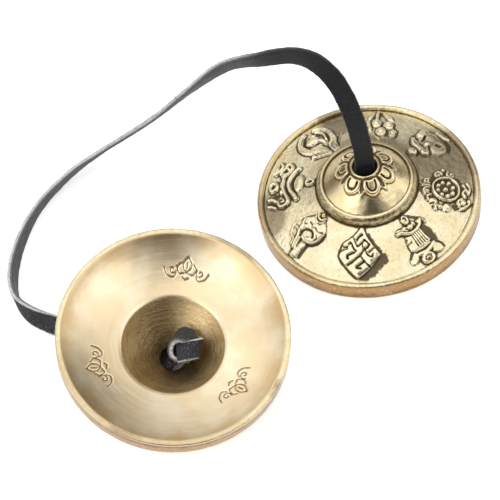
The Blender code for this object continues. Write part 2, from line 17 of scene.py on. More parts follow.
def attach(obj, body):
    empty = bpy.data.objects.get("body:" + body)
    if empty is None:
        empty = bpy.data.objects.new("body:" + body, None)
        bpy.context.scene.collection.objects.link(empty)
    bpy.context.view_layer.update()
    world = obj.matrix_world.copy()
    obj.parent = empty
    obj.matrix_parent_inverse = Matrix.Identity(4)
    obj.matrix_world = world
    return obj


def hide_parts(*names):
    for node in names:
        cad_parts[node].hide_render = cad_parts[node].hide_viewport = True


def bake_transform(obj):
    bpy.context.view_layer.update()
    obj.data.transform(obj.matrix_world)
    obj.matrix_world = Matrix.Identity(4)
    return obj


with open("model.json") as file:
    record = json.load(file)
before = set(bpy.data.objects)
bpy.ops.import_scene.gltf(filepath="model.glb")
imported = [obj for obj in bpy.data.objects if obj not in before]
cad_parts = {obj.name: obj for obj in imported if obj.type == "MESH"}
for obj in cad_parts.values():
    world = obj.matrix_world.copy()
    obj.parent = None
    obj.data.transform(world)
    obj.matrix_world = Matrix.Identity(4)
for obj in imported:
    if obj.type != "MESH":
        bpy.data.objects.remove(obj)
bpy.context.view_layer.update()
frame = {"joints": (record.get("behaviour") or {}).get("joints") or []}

MM = 0.001
TINY = 1e-12

# Camera: the photograph's view, seen from above the front edge of the table
CAMERA_AT = Vector((-5.6, -367.5, 565.4)) * MM
CAMERA_TILT = math.radians(34.03)
CAMERA_ROLL = math.radians(-12.07)
CAMERA_LENS = 169.2
CAMERA_SENSOR = 36.0
CAMERA_NEAR = 0.01

# Cymbal: the same sizes as the part, in mm
RIM_R = 32.5
RIM_EASE = 0.5
RIM_LAND = 0.9
SIDE_H = 5.9
BEAD_W = 2.0
BEAD_DROP = 1.05
FIELD_RISE = 5.35
RING_R = 13.0
RING_IN_W = 0.4
RING_OUT_W = 1.75
RING_H = 2.9
RING_DIP = 0.45
BOSS_H = 7.25
BOSS_BULGE = 0.3
LIP_R = 3.95
LIP_W = 0.9
LIP_H = 0.6
LIP_FOOT = 0.63
HOLE_R = 3.5
CUP_R = 14.7
CUP_METAL = 5.9
HOLE_METAL = 2.6
DISH_BULGE = 0.7
HINGE_RISE = 0.35
GROOVE_Z = SIDE_H - BEAD_DROP
FIELD_TOP_Z = GROOVE_Z + FIELD_RISE
CREST_Z = FIELD_TOP_Z + RING_H
BOSS_FOOT_Z = CREST_Z - RING_DIP
TOP_Z = BOSS_FOOT_Z + BOSS_H
CUP_EDGE_Z = CREST_Z - CUP_METAL
CUP_END_Z = TOP_Z - HOLE_METAL
HINGE_Z = TOP_Z + HINGE_RISE
FIELD_INNER_R = RING_R + RING_OUT_W
FIELD_OUTER_R = RIM_R - BEAD_W

# Cymbal: points round a ring, and rings from the centre out
COARSE = 150
MIDDLING = 300
FINE = 600
FIELD_ROWS = 72
BOSS_ROWS = 38
DISH_ROWS = 61
CUP_ROWS = 24
SIDE_ROWS = 3
BORE_ROWS = 2

# Cymbal: its arcs in section, each from an angle to an angle in degrees, and in how many steps
LIP_ARC = (180, -30, 9)
CREST_ARC = (165, 100, 3)
WALL_ARC = (90, 6, 12)
BEAD_ARC = (165, 0, 11)
RIM_ARC = (-20, -90, 4)

# Cymbal: how far one band of rings keeps from the next, in mm
FIELD_OFF = 0.1
SIDE_OFF = 0.4
CUP_OFF = 0.35
BORE_OFF = 0.2
LIP_OFF = 0.3

# Ornament, in mm from the axis: the middles of the signs and flourishes, the dish's drawn band,
# and over what width relief fades at the field's edges
SYMBOL_R = 22.3
FLOURISH_R = 22.0
ART_OUTER_R = 27.0
ART_INNER_R = 17.0
FIELD_FADE = 0.5
SYMBOL_HALF_TURN = math.radians(25)
FLOURISH_HALF_TURN = math.radians(22)
PETALS = 7
PETALS_FROM = 6.0

# How ornament is drawn: tenths of a mm in a mm, points read for each given one along lines and
# outlines, how steep the walls of cuts and pits are, and how solid the middle of painted shadow and
# dirt is
TENTHS = 10
LINE_READS = 5
OUTLINE_READS = 3
CUT_WALL = 0.7
PIT_WALL = 4
SHADOW_AND_DIRT_SOLID = 1.5

# Finishes of a casting's faces, and how uneven the cast and turned ones are: wave length in mm,
# seed and height in mm. Relief is judged against its surroundings, smoothed SPREAD times
OUTSIDE = 0
HOLLOW = 1
CUP = 2
UNEVEN = ((3.2, 11, 0.022), (7.0, 12, 0.02))
RIPPLE_WAVES = 30
RIPPLE_SPREAD = (0.6, 1.6)
SPREAD = 11

# Grooves that hold dirt, in mm: radius, height, width and how deep they count
GROOVES = (
    (4.6, 19.2, 0.2, 0.22),
    (12.6, 12.7, 0.25, 0.3),
    (14.8, 10.3, 0.5, 0.28),
    (30.5, 4.95, 0.25, 0.26),
)

# Lace
LACE_W = 5.5 * MM
LACE_T = 1.6 * MM
LACE_EASE = 0.4 * MM
LACE_STEP = 0.7 * MM
KNOT_STEP = 0.45 * MM
ROUTE_READS = 24
UNDER_LEN = 20.0 * MM
GAP = 0.3 * MM
END_REACH = 6.0 * MM
BORE_REACH = 2.2 * MM
CORNER_STEPS = 3
FACE_STEPS = 7
EDGE_STEPS = 2
EDGE_WOBBLE = 0.012
EDGE_WAVES = (0.9, 2.3)
FACE_WOBBLE = 0.05
FACE_WAVES = (1.4, 0.5)
SHARP_FROM = math.radians(60)

# Fibres: how many, their sizes, how far they lean, and where on the lace they grow
FIBRES_FREE = 2600
FIBRES_END = 120
FIBRES_KNOT = 420
FIBRE_SIDES = 3
FIBRE_R = 0.022 * MM
FIBRE_LONG = (0.25 * MM, 0.9 * MM)
FIBRE_THINS = 0.8
FIBRE_LEAN = 0.7
FIBRE_EDGE = 0.93
FIBRE_EDGE_SHARE = 0.75
FIBRE_SUEDE = 0.9

# Seeds of the lace's pieces, and how far each one's fibres are from its own
SEED_FREE = 5
SEED_END_RIGHT = 21
SEED_END_LEFT = 22
SEED_KNOT = 40
SEED_FIBRES = 100

# The lace's way under the left cymbal, then its free route from the right hinge: each row is a
# point in mm from the table under that hinge, then the direction of the lace's width there
LACE_TURN = math.radians(147.7)
LACE_WAY = Vector((math.cos(LACE_TURN), math.sin(LACE_TURN), 0))
LACE_ROUTE = (
    (0.2, 0.6, 25.5, 1, 0, 0),
    (-0.1, 1.8, 30.5, 1, 0, 0.05),
    (-0.7, 4, 36.5, 0.99, 0, 0.12),
    (-2.2, 7.6, 43, 0.96, 0.05, 0.27),
    (-4.7, 11.5, 48.3, 0.84, 0.18, 0.51),
    (-8.9, 16, 51.2, 0.45, 0.26, 0.85),
    (-14.6, 20.1, 50.6, -0.13, 0.2, 0.97),
    (-22.9, 23.7, 47.2, -0.45, 0.1, 0.88),
    (-33.1, 28.7, 41.2, -0.67, -0.16, 0.72),
    (-44.7, 31.9, 29.5, -0.66, -0.56, 0.5),
    (-54.9, 34.2, 18.6, -0.56, -0.68, 0.46),
    (-64.8, 35.9, 10.2, -0.42, -0.66, 0.62),
    (-74.9, 35.3, 5.1, -0.12, -0.62, 0.77),
    (-84.9, 31, 3.3, 0.16, -0.36, 0.92),
    (-95.1, 22.3, 2.95, 0.14, -0.16, 0.98),
    (-101.9, 11.7, 2.9, -0.03, -0.03, 1),
    (-105.7, 1, 2.95, -0.15, 0, 0.99),
    (-106, -8, 2.95, -0.08, 0, 1),
    (-102.4, -14.8, 2.95, 0.28, 0.26, 0.9),
    (-95.4, -20.2, 2.15, 0.46, 0.72, 0.46),
)

# Where that route settles flat: lace widths before its end, and height above the flat stretch
LACE_TAIL = ((1.5, 0.35 * MM), (0.75, 0.05 * MM), (0.0, 0.0))

# Knot, in mm: its middle in the cymbal's frame, how it is turned there, and its bands in rows
# like the route's
KNOT_X = -3.5
KNOT_Y = 1.5
KNOT_ABOVE_HOLE = 6.9
KNOT_ACROSS = (-0.92, 0.38, -0.04)
KNOT_OUT = (-0.13, -0.54, -0.83)
KNOT_LOOP = (
    (0.8, -3.2, -0.6, 0.1, 0.2, 1),
    (-1.6, -3.4, -0.4, 0, 0.2, 1),
    (-3.5, -1.8, -0.4, -0.2, 0.1, 1),
    (-3.9, 0.6, -0.3, -0.2, 0, 1),
    (-2.8, 2.9, -0.6, -0.1, -0.3, 1),
    (-0.3, 3.8, -1, 0.1, -0.6, 0.8),
    (2, 2.9, -1.8, 0.3, -0.6, 0.8),
)
KNOT_FRONT = (
    (-2.5, -0.9, 1.6, 0.3, 0.9, -0.4),
    (0.2, -0.3, 1.9, 0.3, 0.9, -0.4),
    (2.4, 0.3, 1.4, 0.3, 0.9, -0.4),
    (3.3, 0.5, -0.4, 0.2, 0.9, -0.4),
    (2, 0.6, -2.4, 0.2, 0.9, -0.3),
)
KNOT_CORE = (
    (-2.4, 0.2, 0, 0, 1, 0),
    (0, 0, 0.5, 0, 1, 0),
    (2.2, 0, -0.4, 0, 1, 0),
    (0.8, 0, -1.8, 0, 1, 0),
    (-1.6, 0, -1.4, 0, 1, 0),
)

# Colours of the bronze
BRONZE_PALE = (0.92, 0.83, 0.58, 1)
BRONZE_WARM = (0.86, 0.73, 0.45, 1)
BRONZE_OLIVE = (0.58, 0.45, 0.25, 1)
BRONZE_DIRT_AND_SHADOW = (0.1, 0.072, 0.04, 1)
BRONZE_WORN_HIGHLIGHT = (1.0, 0.91, 0.68, 1)
TARNISH_AND_SHADE = (0.23, 0.165, 0.1, 1)
BOSS_GOLD = (0.86, 0.70, 0.40, 1)
PETAL_GOLD = (0.98, 0.76, 0.34, 1)
RING_OLIVE = (0.24, 0.18, 0.08, 1)
BEAD_AMBER = (0.60, 0.44, 0.24, 1)
SIDE_AMBER = (0.41, 0.235, 0.09, 1)
SIDE_SHADE_BROWN = (0.23, 0.12, 0.045, 1)
DISH_PALE = (0.92, 0.79, 0.56, 1)
DISH_WARM = (0.87, 0.69, 0.44, 1)
DISH_TARNISH = (0.60, 0.40, 0.18, 1)
ENGRAVED = (0.2, 0.14, 0.07, 1)
CUP_BROWN = (0.47, 0.32, 0.155, 1)
CUP_OLIVE = (0.55, 0.42, 0.22, 1)
CUP_DARK = (0.16, 0.11, 0.05, 1)
CUP_GOLD = (0.95, 0.74, 0.40, 1)

# Where the bronze changes, in mm: between what radii or heights a zone comes in. Then the cup's
# painted highlight spot, and blotches of tarnish with painted shade, with their reach
BOSS_EDGE = (13.1, 12.7)
WALL_INSIDE = (13.25, 13.7)
WALL_OUTSIDE = (15.2, 14.7)
BEAD_INSIDE = (30.6, 31.0)
SIDE_INSIDE = (31.5, 32.1)
SIDE_TOP = (5.8, 5.2)
SIDE_FOOT = (0.3, 0.9)
DISH_EDGE = (25.5, 32.5)
TARNISH_SHADE_EDGE = (21.0, 17.0)
CUP_HIGHLIGHT_AT = (-1.7, 10.5, 9.2)
CUP_HIGHLIGHT_REACH = (9.0, 2.0)
BLOTCHES = (((-4.0, 23.0, 7.0), 16.0), ((0.5, -29.5, 5.0), 8.0), ((-27.7, -4.0, 5.0), 8.0))

# Leather: the colours of grain, suede and cut edge, and from where to where wear sets in, in mm
# along the lace. A knot's bands count as well worn lace, while the stub in its hole counts as
# unworn, so it keeps dark grain: painted shade in the hole
LACE_COLOURS = (
    (0.009, 0.0095, 0.0105, 1),
    (0.04, 0.038, 0.046, 1),
    (0.88, 0.88, 0.86, 1),
)
KNOT_COLOURS = (
    (0.016, 0.017, 0.019, 1),
    (0.033, 0.032, 0.036, 1),
    (0.88, 0.86, 0.83, 1),
)
LACE_WEAR = (42.0, 62.0)
KNOT_START = 60.0
KNOT_WEAR_AND_SHADE = (KNOT_START / 2, KNOT_START)

# Stage: the floor turns white where it is open enough, and keeps the shadow near the object
FLOOR_COLOUR = (0.8, 0.8, 0.8, 1)
FLOOR_GLOW = 0.62
FLOOR_HALF = 2.0
FLOOR_GAP = 0.02 * MM
FLOOR_NEAR = 20 * MM
FLOOR_OPEN = (0.1, 0.4)
WHITE = (1, 1, 1, 1)
KEY_WAY = Vector((-0.55, -0.5, 0.66)).normalized()
KEY_FAR = 1.2
KEY_SIZE = 0.5
KEY_POWER = 0.7

# The studio's sky: its usual tone and its dimmest one, then soft lights as direction, spread in
# degrees and strength. The last one is a dark patch
STUDIO_TONE = 0.16
STUDIO_DARK = 0.08
STUDIO = (
    ((0.61, -0.4, 0.69), 13, 1.6),
    ((0.97, 0.08, 0.24), 9, 1.5),
    ((-0.98, -0.14, 0.14), 22, 1.1),
    ((-0.08, -0.33, 0.94), 13, 1.35),
    ((-0.63, -0.24, 0.73), 15, 1.2),
    ((0.32, 0.29, 0.9), 13, 1.05),
    ((-0.22, 0.33, 0.92), 13, 1.0),
    ((-0.18, 0.79, 0.59), 17, 0.75),
    ((0.81, -0.1, 0.58), 8, 0.75),
    ((0.3, 0.78, 0.55), 12, 0.5),
    ((0.69, 0.21, 0.7), 9, 0.5),
    ((0.46, 0.17, 0.87), 9, 0.3),
    ((0.56, 0.46, 0.69), 10, 0.3),
    ((0.2, -0.28, 0.94), 8, 0.25),
    ((-0.5, 0.52, 0.69), 13, 0.5),
    ((0.04, -0.69, 0.72), 10, -0.9),
)


# Ornament: lines, and the marks that it is made of. Places and widths are in tenths of a mm,
# heights and depths in mm


def around(x, y, radius, degrees):
    turned = math.radians(degrees)
    return x + radius * math.cos(turned), y + radius * math.sin(turned)


def smooth_line(way, reads=LINE_READS):
    """A finer list of points along the smooth curve through x, y, x, y and so on."""
    p = np.reshape(way, (-1, 2)).astype(float)
    if len(p) < 3:
        return p
    p = np.vstack((2 * p[0] - p[1], p, 2 * p[-1] - p[-2]))
    found = []
    for i in range(1, len(p) - 2):
        for k in range(reads):
            t = k / reads
            near = 2 * p[i] + (p[i + 1] - p[i - 1]) * t
            bend = (2 * p[i - 1] - 5 * p[i] + 4 * p[i + 1] - p[i + 2]) * t**2
            far = (-p[i - 1] + 3 * p[i] - 3 * p[i + 1] + p[i + 2]) * t**3
            found.append((near + bend + far) / 2)
    found.append(p[-2])
    return np.array(found)


class Relief:
    """Heights over a patch of the casting, built up mark by mark, and where painted shadow and dirt
    darken it.
    """

    def __init__(self, x, y):
        self.x = x * TENTHS
        self.y = y * TENTHS
        self.high = np.zeros_like(x)
        self.dark = np.zeros_like(x)

    def from_line(self, line):
        """Distance to a line of points, and how far along it the nearest place is, from 0 to 1."""
        nearest = np.full_like(self.x, np.inf)
        place = np.zeros_like(self.x)
        for i, (a, b) in enumerate(zip(line, line[1:])):
            run = b - a
            t = ((self.x - a[0]) * run[0] + (self.y - a[1]) * run[1]) / max(run @ run, TINY)
            t = np.clip(t, 0, 1)
            far = np.hypot(self.x - a[0] - t * run[0], self.y - a[1] - t * run[1])
            closer = far < nearest
            nearest = np.where(closer, far, nearest)
            place = np.where(closer, (i + t) / (len(line) - 1), place)
        return nearest, place

    def oval(self, x, y, across, tall):
        return np.hypot((self.x - x) / across, (self.y - y) / tall)

    def swell(self, high, off):
        """Raise to a round back that is highest where off is 0 and ends where it is 1."""
        self.high = np.maximum(self.high, high * np.sqrt(np.clip(1 - off**2, 0, 1)))

    def lower(self, depth, off):
        """Cut a groove that is deepest where off is 0 and ends where it is 1."""
        self.high = self.high - depth * np.clip(1 - off**2, 0, 1) ** CUT_WALL

    def dome(self, high, x, y, across, tall):
        self.swell(high, self.oval(x, y, across, tall))

    def ring(self, high, x, y, radius, half):
        self.swell(high, (self.oval(x, y, 1, 1) - radius) / half)

    def ridge(self, high, half, *way, taper=1.0):
        off, place = self.from_line(smooth_line(way))
        self.swell(high, off / (half * (1 + (taper - 1) * place)))

    def plate(self, high, bevel, *way):
        """A flat-topped form with a rounded outline and sloping edges."""
        outline = smooth_line(way + way[:2], OUTLINE_READS)
        inside = np.zeros(self.x.shape, bool)
        for a, b in zip(outline, outline[1:]):
            run = b - a
            if run[1] != 0:
                crosses = (a[1] > self.y) != (b[1] > self.y)
                inside ^= crosses & (self.x < a[0] + (self.y - a[1]) * run[0] / run[1])
        edge = np.where(inside, self.from_line(outline)[0], 0)
        self.swell(high, 1 - np.clip(edge / bevel, 0, 1))

    def cut(self, depth, half, *way):
        self.lower(depth, self.from_line(smooth_line(way))[0] / half)

    def oval_cut(self, depth, half, x, y, across, tall):
        self.lower(depth, (self.oval(x, y, across, tall) - 1) * min(across, tall) / half)

    def curl(self, depth, half, x, y, inner, outer, first, turn, steps=8):
        """A cut that winds out round a middle, from an angle in degrees through a turn."""
        way = []
        for i in range(steps + 1):
            t = i / steps
            way += around(x, y, inner + (outer - inner) * t, first + turn * t)
        self.cut(depth, half, *way)

    def pit(self, level, x, y, radius):
        off = np.clip(self.oval(x, y, radius, radius), 0, 1) ** PIT_WALL
        self.high = np.minimum(self.high, level + (self.high - level) * off)

    def shadow_and_dirt(self, half, *way):
        """Painted shadow and dirt along a line, full at its middle and fading to its half width."""
        off, _ = self.from_line(smooth_line(way))
        self.dark = np.maximum(self.dark, np.clip(SHADOW_AND_DIRT_SOLID - off / half, 0, 1))


# The eight signs of good fortune on the field: x runs round the cymbal, y up to the boss. The dark
# lines drawn beside each sign paint the shadow it casts on the field, with some dirt


def conch(art):
    """A shell with a crowned tip, a fan of ribs and a curled mouth."""
    art.plate(0.62, 5, -25, 46, -5, 41, 12, 36, 26, 51, 43, 38, 51, 17, 44, -6, 25, -21, 2, -22,
              -15, -12, -37, 5, -44, 23)
    art.dome(0.95, 15, 20, 33, 29)
    art.ridge(0.5, 2, -26, 65, -46, 37, -52, 7, -47, -19, -30, -38)
    art.ridge(0.62, 2.4, -43, -13, -31, -12, -18, -22, -9, -45)
    art.ridge(0.85, 3, -30, 3, -23, -12, -13, -28, -2, -56)
    art.ridge(0.95, 2.6, -20, 12, -13, -5, -5, -28, 4, -56)
    art.ridge(0.6, 2, -28, -37, -18, -38, -10, -56)
    art.dome(1.1, -1, 65, 8, 7.5)
    art.ridge(1.15, 3, -19, 61, -12, 53, -1, 50, 11, 53, 18, 62)
    art.ridge(0.9, 2.4, -23, 51, -13, 43, -1, 40, 12, 43, 21, 52)
    art.cut(0.5, 2, -21, 56, -12, 48, -1, 45, 12, 48, 20, 57)
    art.ridge(1.15, 5, 48, 19, 44, 0, 30, -17, 12, -21, -2, -16)
    art.cut(1, 4.2, -9, -19, -14, -6, -9, 5, 4, 10, 16, 7, 22, -1)
    art.dome(1.1, 7, -4, 9.5, 8)
    art.curl(0.4, 2, 8, -4, 2, 7, 90, 330)
    art.shadow_and_dirt(4.5, 53, 24, 49, 2, 34, -19, 16, -26)
    art.shadow_and_dirt(4, 26, -30, 27, -68)
    art.cut(0.45, 2.2, -19, 26, -7, 24, 0, 19, 11, 24, 21, 20, 35, 21, 42, 25)
    art.cut(0.4, 2, -38, 21, -31, 12, -22, 15)
    art.cut(0.4, 2, 29, 9, 35, 2, 32, -6)
    art.cut(0.5, 2.5, 16, 46, 14, 39, 2, 38)
    art.ridge(0.6, 8.5, 15, -25, 12, -46, 10, -71)
    for row in range(9):
        y = -28 - 5.2 * row
        art.ridge(0.95, 1.5, 6, y, 22, y)
    art.ridge(0.35, 1.5, -30, -63, -25, -72)
    art.dome(0.35, -41, -63, 3, 3)


def endless_knot(art):
    """One interlaced strand: a raised slanting block with its gaps cut through."""
    art.plate(1.05, 2, 0, 75, 5, 72, 19, 49, 38, 22, 55, -4, 53, -10, 27, -39, 1, -67, -6, -67, -30,
              -44, -56, -19, -58, -12, -57, 20, -53, 26, -29, 47, -5, 73)
    for gap in (
        (4, 1, 52, -9, 46, -15, 36), (2, -29, 44, -12, 20), (2.6, -12, 19, -1, 26, 10, 38),
        (2.4, 9, 38, 19, 32, 25, 25), (4, 26, 25, 19, 17, 12, 13), (2, 4, 29, 5, 20, 10, 14),
        (2.6, 39, 15, 30, 8, 23, 3), (2.4, 12, 13, 16, 3, 23, -6, 32, -9, 35, -2),
        (2.6, -39, 22, -33, 27, -23, 14, -14, 6), (2.2, -54, 12, -45, 12, -40, 15),
        (2, -56, -2, -47, 6, -40, 9), (3.4, -18, 2, -28, -4, -36, -11, -33, -17),
        (3, 9, 12, 0, -4, -10, -14, -21, -26), (2.8, -21, -26, -31, -36),
        (3.4, 9, -23, -3, -33, -7, -40, 2, -41), (2, 2, -9, 12, -22, 27, -39),
    ):
        art.cut(0.95, *gap)
    art.cut(0.4, 2, 48, -13, 24, -37, 0, -62)
    art.shadow_and_dirt(15, 56, -14, 46, -26, 28, -46, 12, -61)
    art.shadow_and_dirt(9, 65, -12, 63, -26)
    art.shadow_and_dirt(5, -59, 18, -61, 0, -59, -14)
    art.shadow_and_dirt(6, 24, 52, 43, 24, 56, 4)


def victory_banner(art):
    """A pearl on a draped canopy, a striped body, and a pearl below."""
    art.dome(0.8, -16, 39, 10, 6)
    art.dome(0.9, 21, 37, 6, 9)
    art.dome(0.9, 5, 34, 11.5, 8.5)
    art.ring(1.15, 4, 58, 10, 4.2)
    art.dome(0.8, 2, 57, 7, 7)
    art.pit(0.1, 8, 58, 3.5)
    art.ridge(1.1, 5.5, -48, 32, -34, 32, -22, 25, -4, 18, 20, 19, 38, 26, 48, 34)
    art.ridge(0.8, 2.5, -45, 40, -32, 40, -21, 34, -10, 29)
    art.ridge(0.95, 5, 48, 34, 53, 29, 54, 21)
    art.dome(0.95, 39, 33, 9, 6)
    art.plate(0.85, 2.5, -29, 16, -2, 12, 24, 16, 24, -7, 23, -32, -29, -32, -34, -8)
    for x in (-9, -2, 5, 12, 19):
        art.cut(0.75, 2, x, 12, x, -4)
        art.cut(0.75, 2, x - 1, -7, x - 1, -24)
    art.cut(0.7, 2, -34, -7, -22, -5)
    art.cut(0.7, 3, -33, 15, -29, 7)
    art.cut(0.5, 2, -25, -30, -1, -28, 23, -30)
    art.ridge(0.85, 6.5, -21, -43, 0, -46, 19, -41, 26, -38)
    art.ring(1.05, -7, -64, 12, 4.5)
    art.dome(0.85, -7, -64, 7, 7)
    art.pit(0.1, -7, -66, 3.5)
    art.plate(0.55, 3, -49, -50, -35, -34, -25, -37, -27, -53, -44, -65)
    art.plate(0.6, 3, 26, -35, 33, -44, 38, -58, 34, -69, 19, -67, 12, -56)
    art.shadow_and_dirt(4, -35, -32, -45, -44)
    art.shadow_and_dirt(13, 36, 9, 37, -9, 33, -26)
    art.shadow_and_dirt(6, 23, 62, 43, 44, 57, 26)
    art.shadow_and_dirt(2.5, 35, -40, 41, -54, 39, -66)


def wheel(art):
    """A ring round nine beads, with curling flames outside it."""
    art.ring(1.15, 3.5, -1, 37.2, 3.6)
    art.pit(0.05, 3.5, -1, 34)
    art.dome(1, 2, -1, 7.8, 7.8)
    for turn in range(8):
        art.dome(0.9, *around(3.5, -1, 22.5, 45 * turn + 22), 8, 7)
    for flame in (
        (-36, 54, -20, 61, -6, 55, -5, 45), (-53, 42, -39, 46, -30, 38),
        (14, 46, 18, 58, 30, 57, 33, 45), (44, 24, 54, 27, 62, 15, 52, 6),
        (44, -13, 53, -7, 63, -12), (-9, -57, 1, -49, 13, -56, 24, -49), (2, -66, 16, -69, 29, -60),
        (-44, -52, -34, -64, -23, -72), (-37, -46, -26, -39, -16, -48), (-74, 12, -66, 17, -59, 10),
    ):
        art.ridge(1, 4.2, *flame, taper=0.7)
    art.ridge(1.05, 5, 2, 65, 3, 55, 3.5, 45)
    for x, y, size in (
        (-19, 49, 9.5), (24, 49, 6), (-51, 26, 14.5), (50, 17, 7.5), (69, 0, 7.5), (52, -20, 11),
        (-54, -14, 13.5), (-59, 3, 7), (-25, -54, 10), (-18, -69, 6), (9, -60, 7),
    ):
        art.dome(0.9, x, y, size, size * 0.9)
    art.cut(0.6, 3, -64, 36, -59, 23)
    for bead in ((-19, 49, 2, 7, 0), (-54, -14, 3, 10, 60), (52, -20, 2, 8, 180)):
        art.curl(0.4, 2, *bead, 300)
    art.shadow_and_dirt(7, 40, 36, 44, 31)
    art.shadow_and_dirt(7, -42, -32, -46, -39)
    art.shadow_and_dirt(4, 43, -35, 28, -46)


def treasure_vase(art):
    """A jewel on a slanting lid over a round vase with a deep dimple."""
    art.dome(1.25, -3, 51, 21, 14.5)
    art.pit(0.6, -4, 47, 4)
    art.plate(1.05, 3, -44, 18, -34, 32, -10, 33, 24, 32, 38, 22, 46, 9, 34, 9, 5, 16, -15, 16,
              -30, 11)
    art.cut(0.5, 2, -17, 32, -14, 24, -18, 17)
    art.dome(0.75, -4, -24, 46, 32)
    art.dome(1.05, -30, -20, 23, 29)
    art.pit(0.1, -23, -28, 12)
    art.dome(1.2, -4, -4, 10, 13)
    art.dome(1.2, 9, -32, 22, 22)
    art.dome(1.3, 32, -16, 14, 14)
    art.dome(1.1, 33, -33, 15, 19)
    art.cut(0.8, 3, 16, -2, 17, -12, 22, -22)
    art.cut(0.6, 2.5, -46, 6, -28, 4, -13, -3)
    art.cut(0.7, 3, 6, 8, 24, 5, 43, 0)
    art.ridge(0.8, 4.5, -17, -70, -9, -63, 3, -61)
    art.dome(0.7, 11, -61, 9, 6)
    art.shadow_and_dirt(4, -26, 48, -20, 39)
    art.shadow_and_dirt(5, -49, -46, -36, -57, -20, -60)
    art.shadow_and_dirt(4, 49, -4, 49, 8)


def lotus(art):
    """Four round buds over leaves and a stem."""
    for x, y, across, tall in (
        (-47, 23, 14, 17.5), (-6, 21, 17, 19), (-22, -12, 15, 17.5), (13, -16, 13.5, 18.5),
    ):
        art.dome(1.15, x, y, across, tall)
        art.oval_cut(0.35, 2, x, y, across * 0.62, tall * 0.58)
    art.plate(0.6, 3.5, -32, -32, -16, -34, -4, -50, 4, -69, -9, -64, -24, -49)
    art.plate(0.5, 3, 34, -30, 36, -46, 26, -63, 19, -70, 22, -50)
    art.ridge(0.85, 3.6, 13, -34, 14, -52, 13, -70)
    art.plate(0.4, 3, -14, 59, -2, 56, 13, 44, 2, 44, -10, 49)
    art.ridge(0.7, 5, 29, 18, 30, 2, 34, -12, 35, -26)
    art.shadow_and_dirt(3.5, -63, 32, -56, 6, -41, -6, -36, -26)
    art.shadow_and_dirt(4, -27, 36, -26, 16, -3, -3)


def golden_fish(art):
    """Two fish side by side, their heads down and together, their tails fanned at the top."""
    art.ridge(1.1, 13.5, -19, 54, -31, 30, -39, 5, -39, -20, -30, -43, -14, -58, taper=0.5)
    art.ridge(1.1, 13.5, 36, 34, 49, 12, 52, -15, 43, -38, 28, -54, 13, -63, taper=0.5)
    art.plate(0.85, 3, -30, 69, -4, 72, -5, 49, -12, 26, -29, 22, -33, 43)
    art.plate(0.85, 3, 9, 70, 24, 66, 46, 55, 72, 32, 56, 23, 34, 24, 16, 44)
    for ray in (
        (-25, 68, -26, 30), (-17, 70, -19, 30), (-10, 70, -13, 34), (15, 68, 22, 46),
        (23, 66, 30, 42), (33, 62, 37, 38), (44, 55, 44, 34), (56, 45, 51, 30),
    ):
        art.cut(0.55, 2, *ray)
    for row in range(7):
        for col in (-1, 0, 1):
            x = -49 + 7.5 * col + 1.2 * row * row / 7
            y = 19 - 7.5 * row
            art.cut(0.35, 2, x, y, x + 4, y - 3)
    art.dome(1, 13, -22, 22, 14)
    art.dome(0.9, 2, -36, 10, 9)
    art.ridge(1.1, 3, -9, 9, -2, -4, 10, -7, 23, -9, 30, -19)
    art.ridge(0.95, 3, -19, 2, -24, -16, -21, -34, -12, -46)
    art.cut(0.7, 3.5, -13, 4, -16, -16, -10, -32)
    art.cut(0.6, 3, 36, -34, 39, -24, 36, -6)
    art.cut(0.8, 3, 6, -44, 5, -54, 2, -66)
    art.shadow_and_dirt(4.5, -27, 56, -44, 34, -66, 4)
    art.shadow_and_dirt(4, 0, 48, -2, 30, 3, 14)
    art.ridge(0.6, 2.5, -70, 4, -59, 19, -43, 40, taper=0.5)
    art.ridge(0.6, 3, 59, 32, 72, 34, 86, 32, taper=0.3)


def ribboned_bowl(art):
    """A bowl between two pearls, on a shawl whose ends curl like ribbons."""
    for y, radius in ((58, 11.5), (-53, 11)):
        art.ring(1.1, 9, y, radius, 5)
        art.pit(0, 9, y, 6)
    art.dome(1.1, 4, 23, 34, 16)
    art.cut(0.8, 3, -36, 13, -19, 5, 6, 3, 38, 12)
    art.ridge(1.15, 6.2, -52, 10, -35, 2, -16, -6, 4, -8, 23, -3, 42, 7, 65, 16)
    art.dome(1.15, -49, 10, 9, 8)
    art.dome(1.15, 62, 15, 9, 8)
    art.ridge(1.05, 5.5, -55, -34, -62, -23, -54, -13, -41, -12, -30, -18, -22, -27, -7, -26, 12,
              -25, 29, -19, 47, -12, 63, -10, 72, -22, 67, -35, 54, -39)
    art.ridge(0.8, 3.6, -46, -22, -51, -30, -42, -38, -30, -42)
    art.dome(1, -26, -32, 9, 8)
    art.dome(1, 4, -29, 11, 6)
    art.dome(0.9, 26, -28, 9, 6)
    art.ridge(0.8, 3, 49, -24, 57, -21, 57, -29)
    art.ridge(0.95, 5, -61, -53, -52, -44, -39, -47, -30, -56)
    art.ridge(0.6, 3, -49, -61, -39, -60, -31, -66)
    art.ridge(0.95, 5.5, 42, -66, 44, -54, 50, -46)
    art.ridge(0.8, 4, 59, -69, 62, -58, 69, -48)
    art.shadow_and_dirt(6, 36, -36, 34, -46)
    art.shadow_and_dirt(3, 74, -4, 79, -22)


# The boss, where y runs out from the axis, and the hollow side, where it runs out from the middle
# of the engraved band


def petal(art):
    """One lotus petal: a broad plump lobe with a line engraved inside its edge."""
    art.plate(0.75, 6, 0, 46, -17, 47, -22, 54, -25.5, 64, -23.5, 74, -14, 83, 0, 87, 14, 83, 23.5,
              74, 25.5, 64, 22, 54, 17, 47)
    inner = (-11, 53, -12, 63, -8, 71, 0, 74, 8, 71, 12, 63, 11, 53)
    art.cut(0.55, 3, *inner)
    art.shadow_and_dirt(2.8, *inner)


